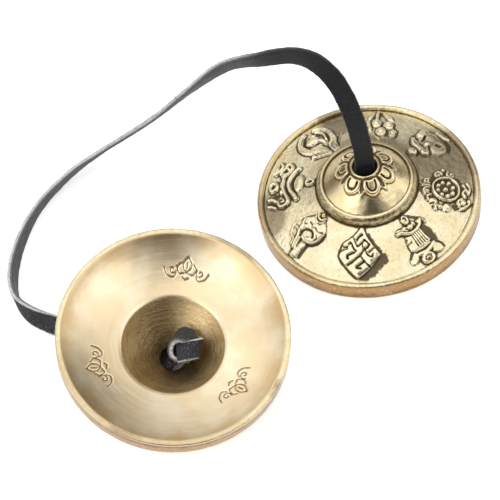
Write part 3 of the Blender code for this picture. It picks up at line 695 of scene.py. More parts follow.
def leaf(art):
    """The tip of a leaf that shows between two petals."""
    art.plate(0.22, 3, -11, 72, -6, 81, 0, 89, 6, 81, 11, 72)
    art.cut(0.25, 2, 0, 50, 0, 76)
    art.shadow_and_dirt(4.5, 0, 49, 0, 74)


def flourish(art):
    """An engraved lotus bud between two mirrored curls, drawn in fine lines."""
    for side in (-1, 1):
        art.cut(0.2, 2, 0, 32, side * 11, 16, side * 9, 1, 0, -7)
    art.cut(0.2, 2, 0, 19, 0, 2)
    for side in (-1, 1):
        art.cut(0.2, 2, side * 3, -9, side * 20, -12, side * 26, 4, side * 17, 15)
        art.curl(0.2, 2, side * 40, -2, 2, 13, 90 + 90 * side, -side * 400, 20)
        art.cut(0.2, 2, side * 29, -12, side * 41, -22, side * 58, -14, side * 64, 4)
        art.cut(0.2, 2, side * 10, -22, 0, -27)


# Where each drawing stands on the casting, in degrees
SYMBOLS = (
    (conch, 297.8),
    (endless_knot, 343.3),
    (victory_banner, 27.0),
    (wheel, 74.3),
    (treasure_vase, 120.0),
    (lotus, 159.0),
    (golden_fish, 206.6),
    (ribboned_bowl, 249.7),
)
FLOURISHES = ((flourish, 76.9), (flourish, 194.1), (flourish, 316.7))


# The casting: rings of points from the lip of the hole, over the outside, and back up the hollow


def drawn(radius, angle, marks, half_turn, place, merge=np.maximum):
    """Heights, and painted shadow and dirt, on rings; each drawing reaches half_turn to both sides
    of its angle.
    """
    high = np.zeros_like(radius)
    dark = np.zeros_like(radius)
    for draw, degrees in marks:
        off = (angle - math.radians(degrees) + math.pi) % (2 * math.pi) - math.pi
        near = np.abs(off[0]) < half_turn
        art = Relief(*place(radius[:, near], off[:, near]))
        draw(art)
        high[:, near] = merge(high[:, near], art.high)
        dark[:, near] = np.maximum(dark[:, near], art.dark)
    return high, dark


def field_heights(radius, angle):
    """The eight signs, fading at the edges of the field."""
    high, dark = drawn(radius, angle, SYMBOLS, SYMBOL_HALF_TURN,
                       lambda out, turn: (SYMBOL_R * turn, SYMBOL_R - out))
    inner = np.clip((radius - FIELD_INNER_R) / FIELD_FADE, 0, 1)
    outer = np.clip((FIELD_OUTER_R - radius) / FIELD_FADE, 0, 1)
    return high * (inner * outer), dark


def boss_heights(radius, angle):
    """The petals round the hole, with the tips of leaves between them."""
    step = 360.0 / PETALS
    marks = [(leaf, PETALS_FROM + step / 2 + i * step) for i in range(PETALS)]
    marks += [(petal, PETALS_FROM + i * step) for i in range(PETALS)]
    return drawn(radius, angle, marks, math.radians(step), lambda out, turn: (out * turn, out))


def dish_heights(radius, angle):
    """The engraving of the hollow face."""
    return drawn(radius, angle, FLOURISHES, FLOURISH_HALF_TURN,
                 lambda out, turn: (-FLOURISH_R * turn, out - FLOURISH_R), np.minimum)


def ripple(points, wave, seed, amount):
    """A gentle unevenness: the mean of plane waves in random directions."""
    random = np.random.default_rng(seed)
    total = np.zeros(len(points))
    for _ in range(RIPPLE_WAVES):
        way = random.normal(size=3)
        way *= 2 * math.pi / (wave * random.uniform(*RIPPLE_SPREAD) * np.linalg.norm(way))
        total += np.sin(points @ way + random.uniform(0, 2 * math.pi))
    return amount * total / math.sqrt(RIPPLE_WAVES)


def blurred(values, times):
    """Values on rings, smoothed along and across them."""
    for _ in range(times):
        values = (np.roll(values, 1, 1) + 2 * values + np.roll(values, -1, 1)) / 4
        padded = np.vstack((values[:1], values, values[-1:]))
        values = (padded[:-2] + 2 * values + padded[2:]) / 4
    return values


def bowed(start, end, bulge, steps):
    """Points from start to end, both (radius, height), with the middle raised by bulge."""
    points = []
    for i in range(steps + 1):
        t = i / steps
        radius = start[0] + (end[0] - start[0]) * t
        height = start[1] + (end[1] - start[1]) * t
        points.append((radius, height + 4 * bulge * t * (1 - t)))
    return points


def rounded(centre, across, up, first, last, steps):
    """Points of an elliptic arc from angle first to last, in degrees."""
    points = []
    for i in range(steps + 1):
        a = math.radians(first + (last - first) * i / steps)
        points.append((centre[0] + across * math.cos(a), centre[1] + up * math.sin(a)))
    return points


def casting_bands():
    """Bands of the casting: a list of (points, how many round a ring, finish, what draws on it)."""
    lip_z = TOP_Z - LIP_W / 2
    lip = rounded((LIP_R, lip_z), LIP_W / 2, LIP_W / 2, *LIP_ARC)
    boss_outer = (RING_R - RING_IN_W, BOSS_FOOT_Z)
    boss = bowed((LIP_R + LIP_FOOT, TOP_Z - LIP_H), boss_outer, BOSS_BULGE, BOSS_ROWS)
    crest = rounded((RING_R, CREST_Z - RING_IN_W), RING_IN_W, RING_IN_W, *CREST_ARC)
    wall = rounded((RING_R, FIELD_TOP_Z), RING_OUT_W, RING_H, *WALL_ARC)
    field_inner = (FIELD_INNER_R + FIELD_OFF, FIELD_TOP_Z)
    field = bowed(field_inner, (FIELD_OUTER_R, GROOVE_Z), 0, FIELD_ROWS)
    bead = rounded((RIM_R - BEAD_W / 2, GROOVE_Z), BEAD_W / 2, BEAD_DROP, *BEAD_ARC)
    side = bowed((RIM_R, GROOVE_Z - SIDE_OFF), (RIM_R, RIM_EASE), 0, SIDE_ROWS)
    rim = rounded((RIM_R - RIM_EASE, RIM_EASE), RIM_EASE, RIM_EASE, *RIM_ARC)
    dish = bowed((RIM_R - RIM_EASE - RIM_LAND, 0), (CUP_R, CUP_EDGE_Z), DISH_BULGE, DISH_ROWS)
    outer = [p for p in dish if p[0] > ART_OUTER_R]
    engraved = [p for p in dish if ART_INNER_R <= p[0] <= ART_OUTER_R]
    inner = [p for p in dish if CUP_R + CUP_OFF < p[0] < ART_INNER_R]
    cup_way = Vector((HOLE_R - CUP_R, CUP_END_Z - CUP_EDGE_Z)).normalized() * CUP_OFF
    cup = bowed((CUP_R + cup_way.x, CUP_EDGE_Z + cup_way.y), (HOLE_R, CUP_END_Z), 0, CUP_ROWS)
    bore = bowed((HOLE_R, CUP_END_Z + BORE_OFF), (HOLE_R, lip_z - LIP_OFF), 0, BORE_ROWS)
    return (
        (lip, COARSE, OUTSIDE, None),
        (boss, MIDDLING, OUTSIDE, boss_heights),
        (crest + wall, MIDDLING, OUTSIDE, None),
        (field, FINE, OUTSIDE, field_heights),
        (bead + side + rim, MIDDLING, OUTSIDE, None),
        (outer[::2], MIDDLING, HOLLOW, None),
        (engraved, FINE, HOLLOW, dish_heights),
        (inner, MIDDLING, HOLLOW, None),
        (cup + bore, COARSE, CUP, None),
    )


def profile_normals(rows):
    """Unit outward normals in the plane of the section, one for each ring of a closed section."""
    p = np.array(rows)
    run = np.roll(p, -1, 0) - np.roll(p, 1, 0)
    normal = np.stack((-run[:, 1], run[:, 0]), 1)
    return normal / np.linalg.norm(normal, axis=1, keepdims=True)


def band_faces(a, b, count_a, count_b):
    """Faces between two rings whose first points are a and b, one ring maybe twice as fine."""
    if count_a < count_b:
        return [face[::-1] for face in band_faces(b, a, count_b, count_a)]
    faces = []
    for i in range(count_b):
        n = (i + 1) % count_b
        if count_a == count_b:
            faces.append((a + i, b + i, b + n, a + n))
        else:
            middle = a + 2 * i + 1
            faces.append((a + 2 * i, b + i, middle))
            faces.append((middle, b + i, b + n))
            faces.append((middle, b + n, a + 2 * n))
    return faces


def grime(radius, height):
    """How hollow a place counts for dirt, from the grooves of the turned section, as a relief."""
    total = np.zeros_like(radius)
    for at_r, at_z, wide, deep in GROOVES:
        off = np.hypot(radius - at_r, height - at_z) / wide
        total -= deep * np.exp(-(off**2))
    return total


def give(mesh, name, kind, values):
    """A value for each point of a mesh, as an attribute."""
    data = mesh.attributes.new(name, kind, "POINT").data
    data.foreach_set("vector" if kind == "FLOAT_VECTOR" else "value", np.ravel(values))


def cymbal_mesh(name, own):
    """A casting, with its own coordinates in mm, how far it stands out, and its dirt and painted
    shadows.
    """
    bands = casting_bands()
    normals = profile_normals([p for band in bands for p in band[0]])
    points = []
    relief = []
    shadow_and_dirt = []
    rings = []
    first = 0
    for profile, count, finish, draw in bands:
        turn = 2 * math.pi * np.arange(count) / count
        radius, angle = np.meshgrid([p[0] for p in profile], turn, indexing="ij")
        height = np.repeat([[p[1]] for p in profile], count, 1)
        lift, dark = draw(radius, angle) if draw else (np.zeros_like(radius),) * 2
        seen = lift - blurred(lift, SPREAD)
        if finish == OUTSIDE:
            seen = seen + grime(radius, height)
        if count > COARSE:
            flat = np.stack((radius * np.cos(angle), radius * np.sin(angle), height), 2)
            lift = lift + ripple(flat.reshape(-1, 3), *UNEVEN[finish]).reshape(lift.shape)
        way = normals[len(rings) : len(rings) + len(profile)]
        across = radius + way[:, :1] * lift
        up = height + way[:, 1:] * lift
        placed = np.stack((across * np.cos(angle), across * np.sin(angle), up), 2)
        points.append(placed.reshape(-1, 3))
        relief.append(seen.ravel())
        shadow_and_dirt.append(dark.ravel())
        for _ in profile:
            rings.append((first, count, finish))
            first += count
    faces = []
    finishes = []
    for ring, after in zip(rings, rings[1:] + rings[:1]):
        made = band_faces(ring[0], after[0], ring[1], after[1])
        faces.extend(made)
        finishes.extend([ring[2]] * len(made))
    mesh = bpy.data.meshes.new(name)
    placed = np.vstack(points)
    mesh.from_pydata((placed * MM).tolist(), [], faces)
    mesh.transform(own)
    give(mesh, "own", "FLOAT_VECTOR", placed)
    give(mesh, "relief", "FLOAT", np.concatenate(relief))
    give(mesh, "shadow_and_dirt", "FLOAT", np.concatenate(shadow_and_dirt))
    mesh.polygons.foreach_set("material_index", finishes)
    mesh.shade_smooth()
    return mesh


# The lace: one flat strip of leather, grain on one side and suede on the other, its edges cut raw


def spline(route, t_all):
    """A smooth curve through a route's points and width directions, read at parameter t_all."""
    i = min(max(int(t_all), 0), len(route) - 2)
    t = t_all - i
    values = []
    for part in (0, 1):
        p1 = Vector(route[i][part])
        p2 = Vector(route[i + 1][part])
        p0 = Vector(route[i - 1][part]) if i > 0 else 2 * p1 - p2
        p3 = Vector(route[i + 2][part]) if i + 2 < len(route) else 2 * p2 - p1
        a = 2 * t**3 - 3 * t**2 + 1
        b = t**3 - 2 * t**2 + t
        c = 3 * t**2 - 2 * t**3
        d = t**3 - t**2
        values.append(a * p1 + b * (p2 - p0) / 2 + c * p2 + d * (p3 - p1) / 2)
    return values


def stations(route, step):
    """Evenly spaced (point, width direction) along a route."""
    read = [spline(route, i / ROUTE_READS) for i in range(ROUTE_READS * (len(route) - 1) + 1)]
    run = [0.0]
    for a, b in zip(read, read[1:]):
        run.append(run[-1] + (b[0] - a[0]).length)
    count = max(2, round(run[-1] / step))
    found = []
    k = 0
    for i in range(count + 1):
        at = run[-1] * i / count
        while k < len(run) - 2 and run[k + 1] < at:
            k += 1
        share = (at - run[k]) / max(run[k + 1] - run[k], TINY)
        found.append([a.lerp(b, share) for a, b in zip(read[k], read[k + 1])])
    return found


def lace_section():
    """The strip's section as (across, through) points, anticlockwise, with rounded corners."""
    half_w = LACE_W / 2 - LACE_EASE
    half_t = LACE_T / 2 - LACE_EASE
    points = []
    for corner, (side_w, side_t) in enumerate(((1, 1), (-1, 1), (-1, -1), (1, -1))):
        for k in range(CORNER_STEPS + 1):
            a = math.pi / 2 * (corner + k / CORNER_STEPS)
            w = side_w * half_w + LACE_EASE * math.cos(a)
            points.append((w, side_t * half_t + LACE_EASE * math.sin(a)))
        steps = EDGE_STEPS if corner % 2 else FACE_STEPS
        for k in range(1, steps):
            share = 1 - 2 * k / steps
            if corner % 2:
                points.append((side_w * LACE_W / 2, side_t * half_t * share))
            else:
                points.append((side_w * half_w * share, side_t * LACE_T / 2))
    return points


def strip(places, seed, start_mm):
    """A closed strip along places: points, faces, and for each point across, through and along."""
    random = np.random.default_rng(seed)
    phase = random.uniform(0, 2 * math.pi, 6)
    slow, quick = EDGE_WAVES
    fine, broad = FACE_WAVES
    outline = lace_section()
    size = len(outline)
    points = []
    spots = []
    last = len(places) - 1
    run = start_mm * MM
    for i, (point, width) in enumerate(places):
        before = places[max(i - 1, 0)][0]
        after = places[min(i + 1, last)][0]
        run += (point - before).length
        along = (after - before).normalized()
        through = along.cross(width).normalized()
        across = through.cross(along).normalized()
        at = run / MM
        for w, t in outline:
            edge = math.sin(slow * at + phase[0]) + math.sin(quick * at + phase[1 if w > 0 else 2])
            face = math.sin(fine * at + phase[3] + w / MM) * math.sin(broad * at + phase[4])
            wide = w * (1 + EDGE_WOBBLE * edge)
            thick = t * (1 + FACE_WOBBLE * face)
            points.append(point + across * wide + through * thick)
            spots.append((w / MM, t / MM, at))
    faces = []
    for i in range(last):
        for k in range(size):
            n = (k + 1) % size
            faces.append((i * size + k, i * size + n, (i + 1) * size + n, (i + 1) * size + k))
    for first, turned in ((0, True), (last * size, False)):
        start = len(points)
        points.extend(points[first : first + size])
        spots.extend(spots[first : first + size])
        cap = range(start, start + size)
        faces.append(tuple(reversed(cap) if turned else cap))
    return points, faces, spots


def fibres(points, faces, spots, count, seed, keep_above):
    """Short loose fibres that stand out of the cut edges and the suede side."""
    random = np.random.default_rng(seed)
    half_w = LACE_W / 2 / MM
    half_t = LACE_T / 2 / MM
    sides = [f for f in faces if len(f) == 4]
    on_edge = [f for f in sides if abs(spots[f[0]][0]) > FIBRE_EDGE * half_w]
    on_suede = [f for f in sides if spots[f[0]][1] > FIBRE_SUEDE * half_t]
    hairs = []
    hair_faces = []
    hair_spots = []
    for _ in range(count):
        pool = on_edge if random.uniform() < FIBRE_EDGE_SHARE else on_suede
        if not pool:
            continue
        face = pool[random.integers(len(pool))]
        a, b, c, d = (points[i] for i in face)
        u = random.uniform()
        v = random.uniform()
        root = a.lerp(b, u).lerp(d.lerp(c, u), v)
        normal = (b - a).cross(d - a)
        if normal.length < TINY:
            continue
        normal.normalize()
        way = normal + Vector(random.normal(size=3)) * FIBRE_LEAN
        bend = Vector(random.normal(size=3)) * FIBRE_LEAN
        half = random.uniform(*FIBRE_LONG) * 0.5
        knee = root + way.normalized() * half
        tip = knee + (way + bend).normalized() * half
        if keep_above is not None and min(tip.z, knee.z) < keep_above:
            continue
        side = way.orthogonal().normalized()
        other = side.cross(way.normalized())
        start = len(hairs)
        for middle, thick in ((root - normal * FIBRE_R, 1), (knee, FIBRE_THINS)):
            for k in range(FIBRE_SIDES):
                turn = 2 * math.pi * k / FIBRE_SIDES
                out = side * math.cos(turn) + other * math.sin(turn)
                hairs.append(middle + out * FIBRE_R * thick)
        hairs.append(tip)
        bend_at = start + FIBRE_SIDES
        tip_at = bend_at + FIBRE_SIDES
        for k in range(FIBRE_SIDES):
            n = (k + 1) % FIBRE_SIDES
            hair_faces.append((start + k, start + n, bend_at + n, bend_at + k))
            hair_faces.append((bend_at + k, bend_at + n, tip_at))
        hair_faces.append(tuple(range(start, bend_at))[::-1])
        hair_spots.extend([spots[face[0]]] * (tip_at + 1 - start))
    return hairs, hair_faces, hair_spots


def lace_mesh(name, strips, fibre_count, seed, keep_above=None, start_mm=0.0):
    """One mesh of strips with their fibres, and each point's mm across, through and along."""
    points = []
    faces = []
    spots = []
    for i, places in enumerate(strips):
        # Each strip starts further along than the next, so a knot's stub, the last strip, reads as
        # unworn dark grain: painted shade in the hole
        made = strip(places, seed + i, start_mm * (len(strips) - 1 - i))
        share = fibre_count * len(places) // sum(len(s) for s in strips)
        grown = fibres(*made, share, seed + SEED_FIBRES + i, keep_above)
        for more_points, more_faces, more_spots in (made, grown):
            start = len(points)
            points.extend(more_points)
            faces.extend(tuple(start + k for k in face) for face in more_faces)
            spots.extend(more_spots)
    mesh = bpy.data.meshes.new(name)
    mesh.from_pydata([tuple(p) for p in points], [], faces)
    give(mesh, "own", "FLOAT_VECTOR", spots)
    mesh.shade_smooth()
    mesh.set_sharp_from_angle(angle=SHARP_FROM)
    return mesh


def show(name, data, *finishes, at=Matrix()):
    """An object made of its data and finishes, put in the scene."""
    made = bpy.data.objects.new(name, data)
    made.matrix_world = at
    for finish in finishes:
        data.materials.append(finish)
    bpy.context.scene.collection.objects.link(made)
    return made


# Materials


class Shader:
    """A node material being put together."""

    def __init__(self, name):
        self.material = bpy.data.materials.new(name)
        self.material.use_nodes = True
        self.tree = self.material.node_tree
        self.surface = self.tree.nodes["Principled BSDF"]

    def add(self, kind, inputs=(), output=0, **settings):
        """A node with its settings and inputs given; returns one of its outputs."""
        made = self.tree.nodes.new(kind)
        for key, value in settings.items():
            setattr(made, key, value)
        for key, value in dict(inputs).items():
            self.put(made.inputs[key], value)
        return made.outputs[output]

    def put(self, socket, value):
        if isinstance(value, bpy.types.NodeSocket):
            self.tree.links.new(value, socket)
        else:
            socket.default_value = value

    def set(self, **values):
        for key, value in values.items():
            self.put(self.surface.inputs[key.replace("_", " ")], value)

    def finished(self, colour, rough, normal, **more):
        self.set(Base_Color=colour, Roughness=rough, Normal=normal, **more)
        return self.material

    def math(self, operation, a, b=0.0, c=0.0):
        return self.add("ShaderNodeMath", {0: a, 1: b, 2: c}, operation=operation)

    def times(self, value, *others):
        for other in others:
            value = self.math("MULTIPLY", value, other)
        return value

    def most(self, a, b):
        return self.math("MAXIMUM", a, b)

    def plus(self, value, *pairs):
        """A value with others added, each times its own number."""
        for other, factor in pairs:
            value = self.math("MULTIPLY_ADD", other, factor, value)
        return value

    def stray(self, value, *pairs):
        """A value made to wander by noises, each by its own amount."""
        return self.plus(value, *((self.math("SUBTRACT", n, 0.5), amount) for n, amount in pairs))

    def vector(self, operation, a, b=(0, 0, 0), output=0):
        return self.add("ShaderNodeVectorMath", {0: a, 1: b}, output, operation=operation)

    def attribute(self, name, output=2):
        return self.add("ShaderNodeAttribute", output=output, attribute_name=name)

    def own(self):
        """Place on the piece in mm: the casting's own, or across, through and along the lace."""
        return self.attribute("own", 1)

    def parts(self, vector):
        return self.add("ShaderNodeSeparateXYZ", {0: vector}).node.outputs

    def outward(self, place):
        """The part of a place across the axis, and its length."""
        flat = self.vector("MULTIPLY", place, (1, 1, 0))
        return flat, self.vector("LENGTH", flat, output=1)

    def turned(self, place, around_scale, out_scale):
        """A place that stays nearly the same round a ring and changes quickly across it."""
        flat, radius = self.outward(place)
        way = self.vector("NORMALIZE", flat)
        way = self.add("ShaderNodeVectorMath", {0: way, 3: around_scale}, operation="SCALE")
        forward, sideways, _ = self.parts(way)
        out = self.times(radius, out_scale)
        return self.add("ShaderNodeCombineXYZ", {0: forward, 1: sideways, 2: out})

    def noise(self, vector, scale, detail=2.0, roughness=0.5):
        inputs = {"Vector": vector, "Scale": scale, "Detail": detail, "Roughness": roughness}
        return self.add("ShaderNodeTexNoise", inputs)

    def between(self, value, low, high, to_low=0.0, to_high=1.0):
        inputs = {0: value, 1: low, 2: high, 3: to_low, 4: to_high}
        return self.add("ShaderNodeMapRange", inputs, interpolation_type="SMOOTHSTEP")

    def layers(self, colour, *pairs):
        """A colour with others laid over it, each with its share."""
        for share, over in pairs:
            colour = self.add("ShaderNodeMix", {0: share, 6: colour, 7: over}, 2, data_type="RGBA")
        return colour

    def bumps(self, *layers):
        """A normal shaken by heights, each with its distance in mm and its strength."""
        normal = None
        for height, distance, strength in layers:
            inputs = {"Height": height, "Distance": distance * MM, "Strength": strength}
            if normal is not None:
                inputs["Normal"] = normal
            normal = self.add("ShaderNodeBump", inputs)
        return normal


def cast_bronze():
    """The outside: satin cast metal, worn bright with a painted highlight on the raised work, dark
    in the hollows round it, with painted shadows of the signs and painted shade in places.
    """
    shader = Shader("cast_bronze")
    between, times = shader.between, shader.times
    place = shader.own()
    forward, sideways, height = shader.parts(place)
    _, radius = shader.outward(place)
    relief = shader.attribute("relief")
    patches = shader.noise(place, 0.16, 3.0)
    mottled = shader.noise(place, 0.9, 4.0, 0.6)
    grain = shader.noise(place, 5.0, 3.0, 0.6)
    # Tarnish with painted shade: darker towards the back near the ring, and in blotches
    tarnish_and_shade = times(between(shader.stray(radius, (patches, 9.0)), *TARNISH_SHADE_EDGE),
                between(forward, 9.0, -4.0), between(sideways, -16.0, 6.0, 0.35, 1.0))
    for at, reach in BLOTCHES:
        away = shader.stray(shader.vector("DISTANCE", place, at, 1), (patches, 12.0))
        tarnish_and_shade = shader.most(tarnish_and_shade, between(away, reach, reach * 0.55))
    boss = between(radius, *BOSS_EDGE)
    # Painted shade: the boss's back half is darkened with the ring's olive
    behind = times(boss, between(forward, 4.0, 0.5, 0.0, 0.6))
    wall = times(between(radius, *WALL_INSIDE), between(radius, *WALL_OUTSIDE),
                 between(mottled, 0.35, 0.6, 0.95, 0.5))
    bead = times(between(radius, *BEAD_INSIDE), between(sideways, -8.0, -24.0, 0.1, 0.6))
    side = times(between(radius, *SIDE_INSIDE), between(height, *SIDE_TOP),
                 between(height, *SIDE_FOOT, 0.1, 1.0))
    # The side: amber, darkening to brown towards its foot as painted shade, with pale mottling
    aged_and_shaded = shader.layers(
        SIDE_AMBER,
        (between(shader.plus(height, (patches, -6.0)), 0.6, -1.6), SIDE_SHADE_BROWN),
        (between(mottled, 0.5, 0.75, 0.0, 0.3), BRONZE_PALE),
    )
    hollow = between(shader.stray(relief, (mottled, 0.25), (grain, 0.16)), -0.06, -0.2)
    # Painted shadows that the signs cast beside them, with some dirt, made ragged by noise
    shadow_and_dirt = shader.stray(shader.attribute("shadow_and_dirt"), (grain, 1.6), (mottled, 1.6))
    # dirt: the patina in the hollows together with those painted shadows of the signs
    dirt = shader.most(hollow, between(shadow_and_dirt, 0.42, 0.55, 0.0, 0.95))
    # The raised work: worn bright, and painted paler still as its highlight
    worn = between(relief, 0.05, 0.3)
    colour = shader.layers(
        BRONZE_PALE,
        (between(patches, 0.35, 0.65), BRONZE_WARM),
        (between(mottled, 0.52, 0.72, 0.0, 0.45), BRONZE_OLIVE),
        (times(tarnish_and_shade, 0.75), TARNISH_AND_SHADE),
        (times(boss, 0.8), BOSS_GOLD),
        (behind, RING_OLIVE),
        (wall, RING_OLIVE),
        (bead, BEAD_AMBER),
        (side, aged_and_shaded),
        (dirt, BRONZE_DIRT_AND_SHADOW),
        (times(worn, 0.7), BRONZE_WORN_HIGHLIGHT),
        (times(worn, boss, 0.6), PETAL_GOLD),
    )
    rough = shader.plus(0.08, (mottled, 0.2), (boss, -0.09), (worn, -0.05), (dirt, 0.3))
    normal = shader.bumps((grain, 0.04, 1.0), (mottled, 0.18, between(boss, 0.0, 1.0, 1.0, 0.25)))
    return shader.finished(colour, rough, normal, Metallic=1.0)


def turned_bronze():
    """The hollow face: finished on a wheel, so brushed in rings, with tarnish in its engraving."""
    shader = Shader("turned_bronze")
    between = shader.between
    place = shader.own()
    _, radius = shader.outward(place)
    rings = shader.noise(shader.turned(place, 2.5, 5.0), 1.0, 3.0, 0.7)
    wide_rings = shader.noise(shader.turned(place, 1.2, 0.7), 1.0, 2.0)
    patches = shader.noise(place, 0.09, 3.0)
    mottled = shader.noise(place, 0.7, 4.0, 0.6)
    scuffs = shader.noise(place, 3.5, 4.0, 0.7)
    edge = between(shader.stray(radius, (patches, 8.0)), *DISH_EDGE, 0.0, 0.75)
    engraved = between(shader.attribute("relief"), -0.015, -0.09)
    colour = shader.layers(
        DISH_PALE,
        (between(patches, 0.38, 0.62), DISH_WARM),
        (between(wide_rings, 0.5, 0.8, 0.0, 0.12), BRONZE_OLIVE),
        (edge, DISH_TARNISH),
        (between(mottled, 0.58, 0.78, 0.0, 0.3), DISH_WARM),
        (engraved, ENGRAVED),
    )
    rough = shader.plus(0.2, (rings, 0.1), (engraved, 0.25))
    normal = shader.bumps((scuffs, 0.04, 1.0), (rings, 0.01, 1.0), (wide_rings, 0.04, 1.0))
    return shader.finished(colour, rough, normal, Metallic=1.0)


def cup_bronze():
    """Inside the boss: rough from the casting, darker brown than the outside, with a painted
    highlight spot.
    """
    shader = Shader("cup_bronze")
    between = shader.between
    place = shader.own()
    patches = shader.noise(place, 0.18, 4.0, 0.6)
    mottled = shader.noise(place, 1.1, 5.0, 0.65)
    grain = shader.noise(place, 6.0, 3.0, 0.6)
    rings = shader.noise(shader.turned(place, 1.5, 1.6), 1.0, 4.0, 0.7)
    away = shader.stray(shader.vector("DISTANCE", place, CUP_HIGHLIGHT_AT, 1), (mottled, 9.0))
    colour = shader.layers(
        CUP_BROWN,
        (between(patches, 0.35, 0.65), CUP_OLIVE),
        (between(rings, 0.35, 0.65, 0.3, 0.0), CUP_DARK),
        # A painted highlight: one spot on the cup's wall laid over with gold
        (between(away, *CUP_HIGHLIGHT_REACH, 0.0, 0.95), CUP_GOLD),
        (between(mottled, 0.5, 0.72, 0.0, 0.22), CUP_GOLD),
    )
    rough = shader.plus(0.28, (mottled, 0.25))
    normal = shader.bumps((grain, 0.06, 1.0), (mottled, 0.15, 1.0), (rings, 0.12, 1.0))
    return shader.finished(colour, rough, normal, Metallic=1.0)


def tinted(colour, factor):
    return [c * factor for c in colour]


def leather(name, grain_colour, suede_colour, edge_colour, wear):
    """Dark leather: smooth grain, napped suede behind it, and pale raw fibre along worn cuts."""
    shader = Shader(name)
    between, times = shader.between, shader.times
    place = shader.own()
    across, through, along = shader.parts(place)
    across = shader.math("DIVIDE", shader.math("ABSOLUTE", across), LACE_W / 2 / MM)
    # worn also keeps a knot's stub in its hole dark: painted shade
    worn = between(along, *wear)
    nap = shader.noise(place, 4.0, 5.0, 0.7)
    cloudy = shader.noise(place, 0.5, 3.0, 0.6)
    creases = shader.noise(place, 1.6, 4.0, 0.55)
    specks = shader.noise(place, 2.2, 3.0, 0.7)
    frayed = shader.noise(place, 1.8, 4.0, 0.75)
    suede = between(through, -0.5, 0.4)
    napped = shader.layers(
        suede_colour,
        (between(nap, 0.35, 0.7), tinted(suede_colour, 1.7)),
        (between(cloudy, 0.4, 0.7, 0.0, 0.5), grain_colour),
    )
    cut = times(between(shader.stray(across, (nap, 0.35)), 0.86, 0.99),
                between(shader.stray(through, (nap, 1.2)), -0.35, 0.2, 0.2, 1.0),
                between(worn, 0.0, 1.0, 0.12, 1.0))
    raw = shader.layers(edge_colour, (between(frayed, 0.45, 0.68), tinted(edge_colour, 0.3)))
    colour = shader.layers(
        grain_colour,
        (between(creases, 0.4, 0.7), tinted(grain_colour, 1.9)),
        (times(worn, 0.5), napped),
        (suede, shader.layers(grain_colour, (worn, napped))),
        (times(between(specks, 0.58, 0.72, 0.0, 0.3), worn), edge_colour),
        (times(cut, 0.92), raw),
    )
    rough = shader.most(between(suede, 0.0, 1.0, 0.5, 0.85), times(cut, 0.9))
    normal = shader.bumps((creases, 0.15, 1.0), (nap, 0.08, 1.0))
    return shader.finished(colour, rough, normal, Sheen_Weight=0.05, Sheen_Roughness=0.5,
                           Specular_IOR_Level=0.3)


# Stage: a white floor that keeps the shadow, a soft studio round it, and the camera


def add_camera():
    data = bpy.data.cameras.new("camera")
    data.lens = CAMERA_LENS
    data.sensor_width = CAMERA_SENSOR
    data.clip_start = CAMERA_NEAR
    turned = Matrix.Rotation(CAMERA_TILT, 4, "X") @ Matrix.Rotation(CAMERA_ROLL, 4, "Z")
    made = show("camera", data, at=Matrix.Translation(CAMERA_AT) @ turned)
    bpy.context.scene.camera = made


def add_floor():
    """White to the camera and in reflections away from the object, and plain to all other light."""
    shader = Shader("floor")
    open_share = shader.add("ShaderNodeAmbientOcclusion", {"Distance": FLOOR_NEAR}, 1)
    path = shader.add("ShaderNodeLightPath").node.outputs
    seen = shader.most(path["Is Camera Ray"], path["Is Glossy Ray"])
    seen = shader.most(seen, path["Is Transmission Ray"])
    glow = shader.times(seen, shader.between(open_share, *FLOOR_OPEN), FLOOR_GLOW)
    shader.set(Base_Color=FLOOR_COLOUR, Roughness=1.0, Specular_IOR_Level=0.0)
    shader.set(Emission_Color=WHITE, Emission_Strength=glow)
    mesh = bpy.data.meshes.new("floor")
    h = FLOOR_HALF
    mesh.from_pydata([(-h, -h, 0), (h, -h, 0), (h, h, 0), (-h, h, 0)], [], [(0, 1, 2, 3)])
    floor = show("floor", mesh, shader.material)
    floor.location.z = -FLOOR_GAP


class Sky(Shader):
    """The world's node tree, built with the same helpers."""

    def __init__(self, name):
        world = bpy.data.worlds.new(name)
        world.use_nodes = True
        bpy.context.scene.world = world
        self.tree = world.node_tree
        self.surface = self.tree.nodes["Background"]


def add_world():
    """White to the camera, and a studio with soft lights and dim corners to everything else."""
    sky = Sky("studio")
    way = sky.add("ShaderNodeTexCoord")
    tone = STUDIO_TONE
    for aim, spread, strength in STUDIO:
        sharp = 1 / math.radians(spread) ** 2
        close = sky.vector("DOT_PRODUCT", way, Vector(aim).normalized(), 1)
        share = sky.math("EXPONENT", sky.math("MULTIPLY_ADD", close, sharp, -sharp))
        tone = sky.plus(tone, (share, strength))
    tone = sky.most(tone, STUDIO_DARK)
    path = sky.add("ShaderNodeLightPath").node.outputs
    clear = sky.most(path["Is Camera Ray"], path["Is Transmission Ray"])
    seen = sky.add("ShaderNodeMix", {0: clear, 2: tone, 3: 1.0}, data_type="FLOAT")
    sky.set(Color=WHITE, Strength=seen)


def add_lamp():
    """A square lamp that looks back at the object along its own -Z."""
    data = bpy.data.lights.new("key_lamp", "AREA")
    data.shape = "SQUARE"
    data.size = KEY_SIZE
    data.energy = KEY_POWER
    turned = (-KEY_WAY).to_track_quat("-Z", "Y").to_matrix().to_4x4()
    show("key_lamp", data, at=Matrix.Translation(KEY_WAY * KEY_FAR) @ turned)


# Putting it together


def joint(name):
    found = next(j for j in frame["joints"] if j["name"] == name)
    return Vector(found["pos_m"]), Vector(found["axis"]).normalized()


def own_frame(side, boss_sign, width_sign):
    """A cymbal's own frame: +Z to its boss, +Y the way of the lace's width in the hole."""
    hinge, width = joint(f"{side}_tilt")
    boss = joint(f"{side}_swivel")[1] * boss_sign
    across = (width * width_sign).cross(boss).normalized()
    made = Matrix((across, boss.cross(across), boss)).transposed().to_4x4()
    made.translation = hinge - boss * HINGE_Z * MM
    return made


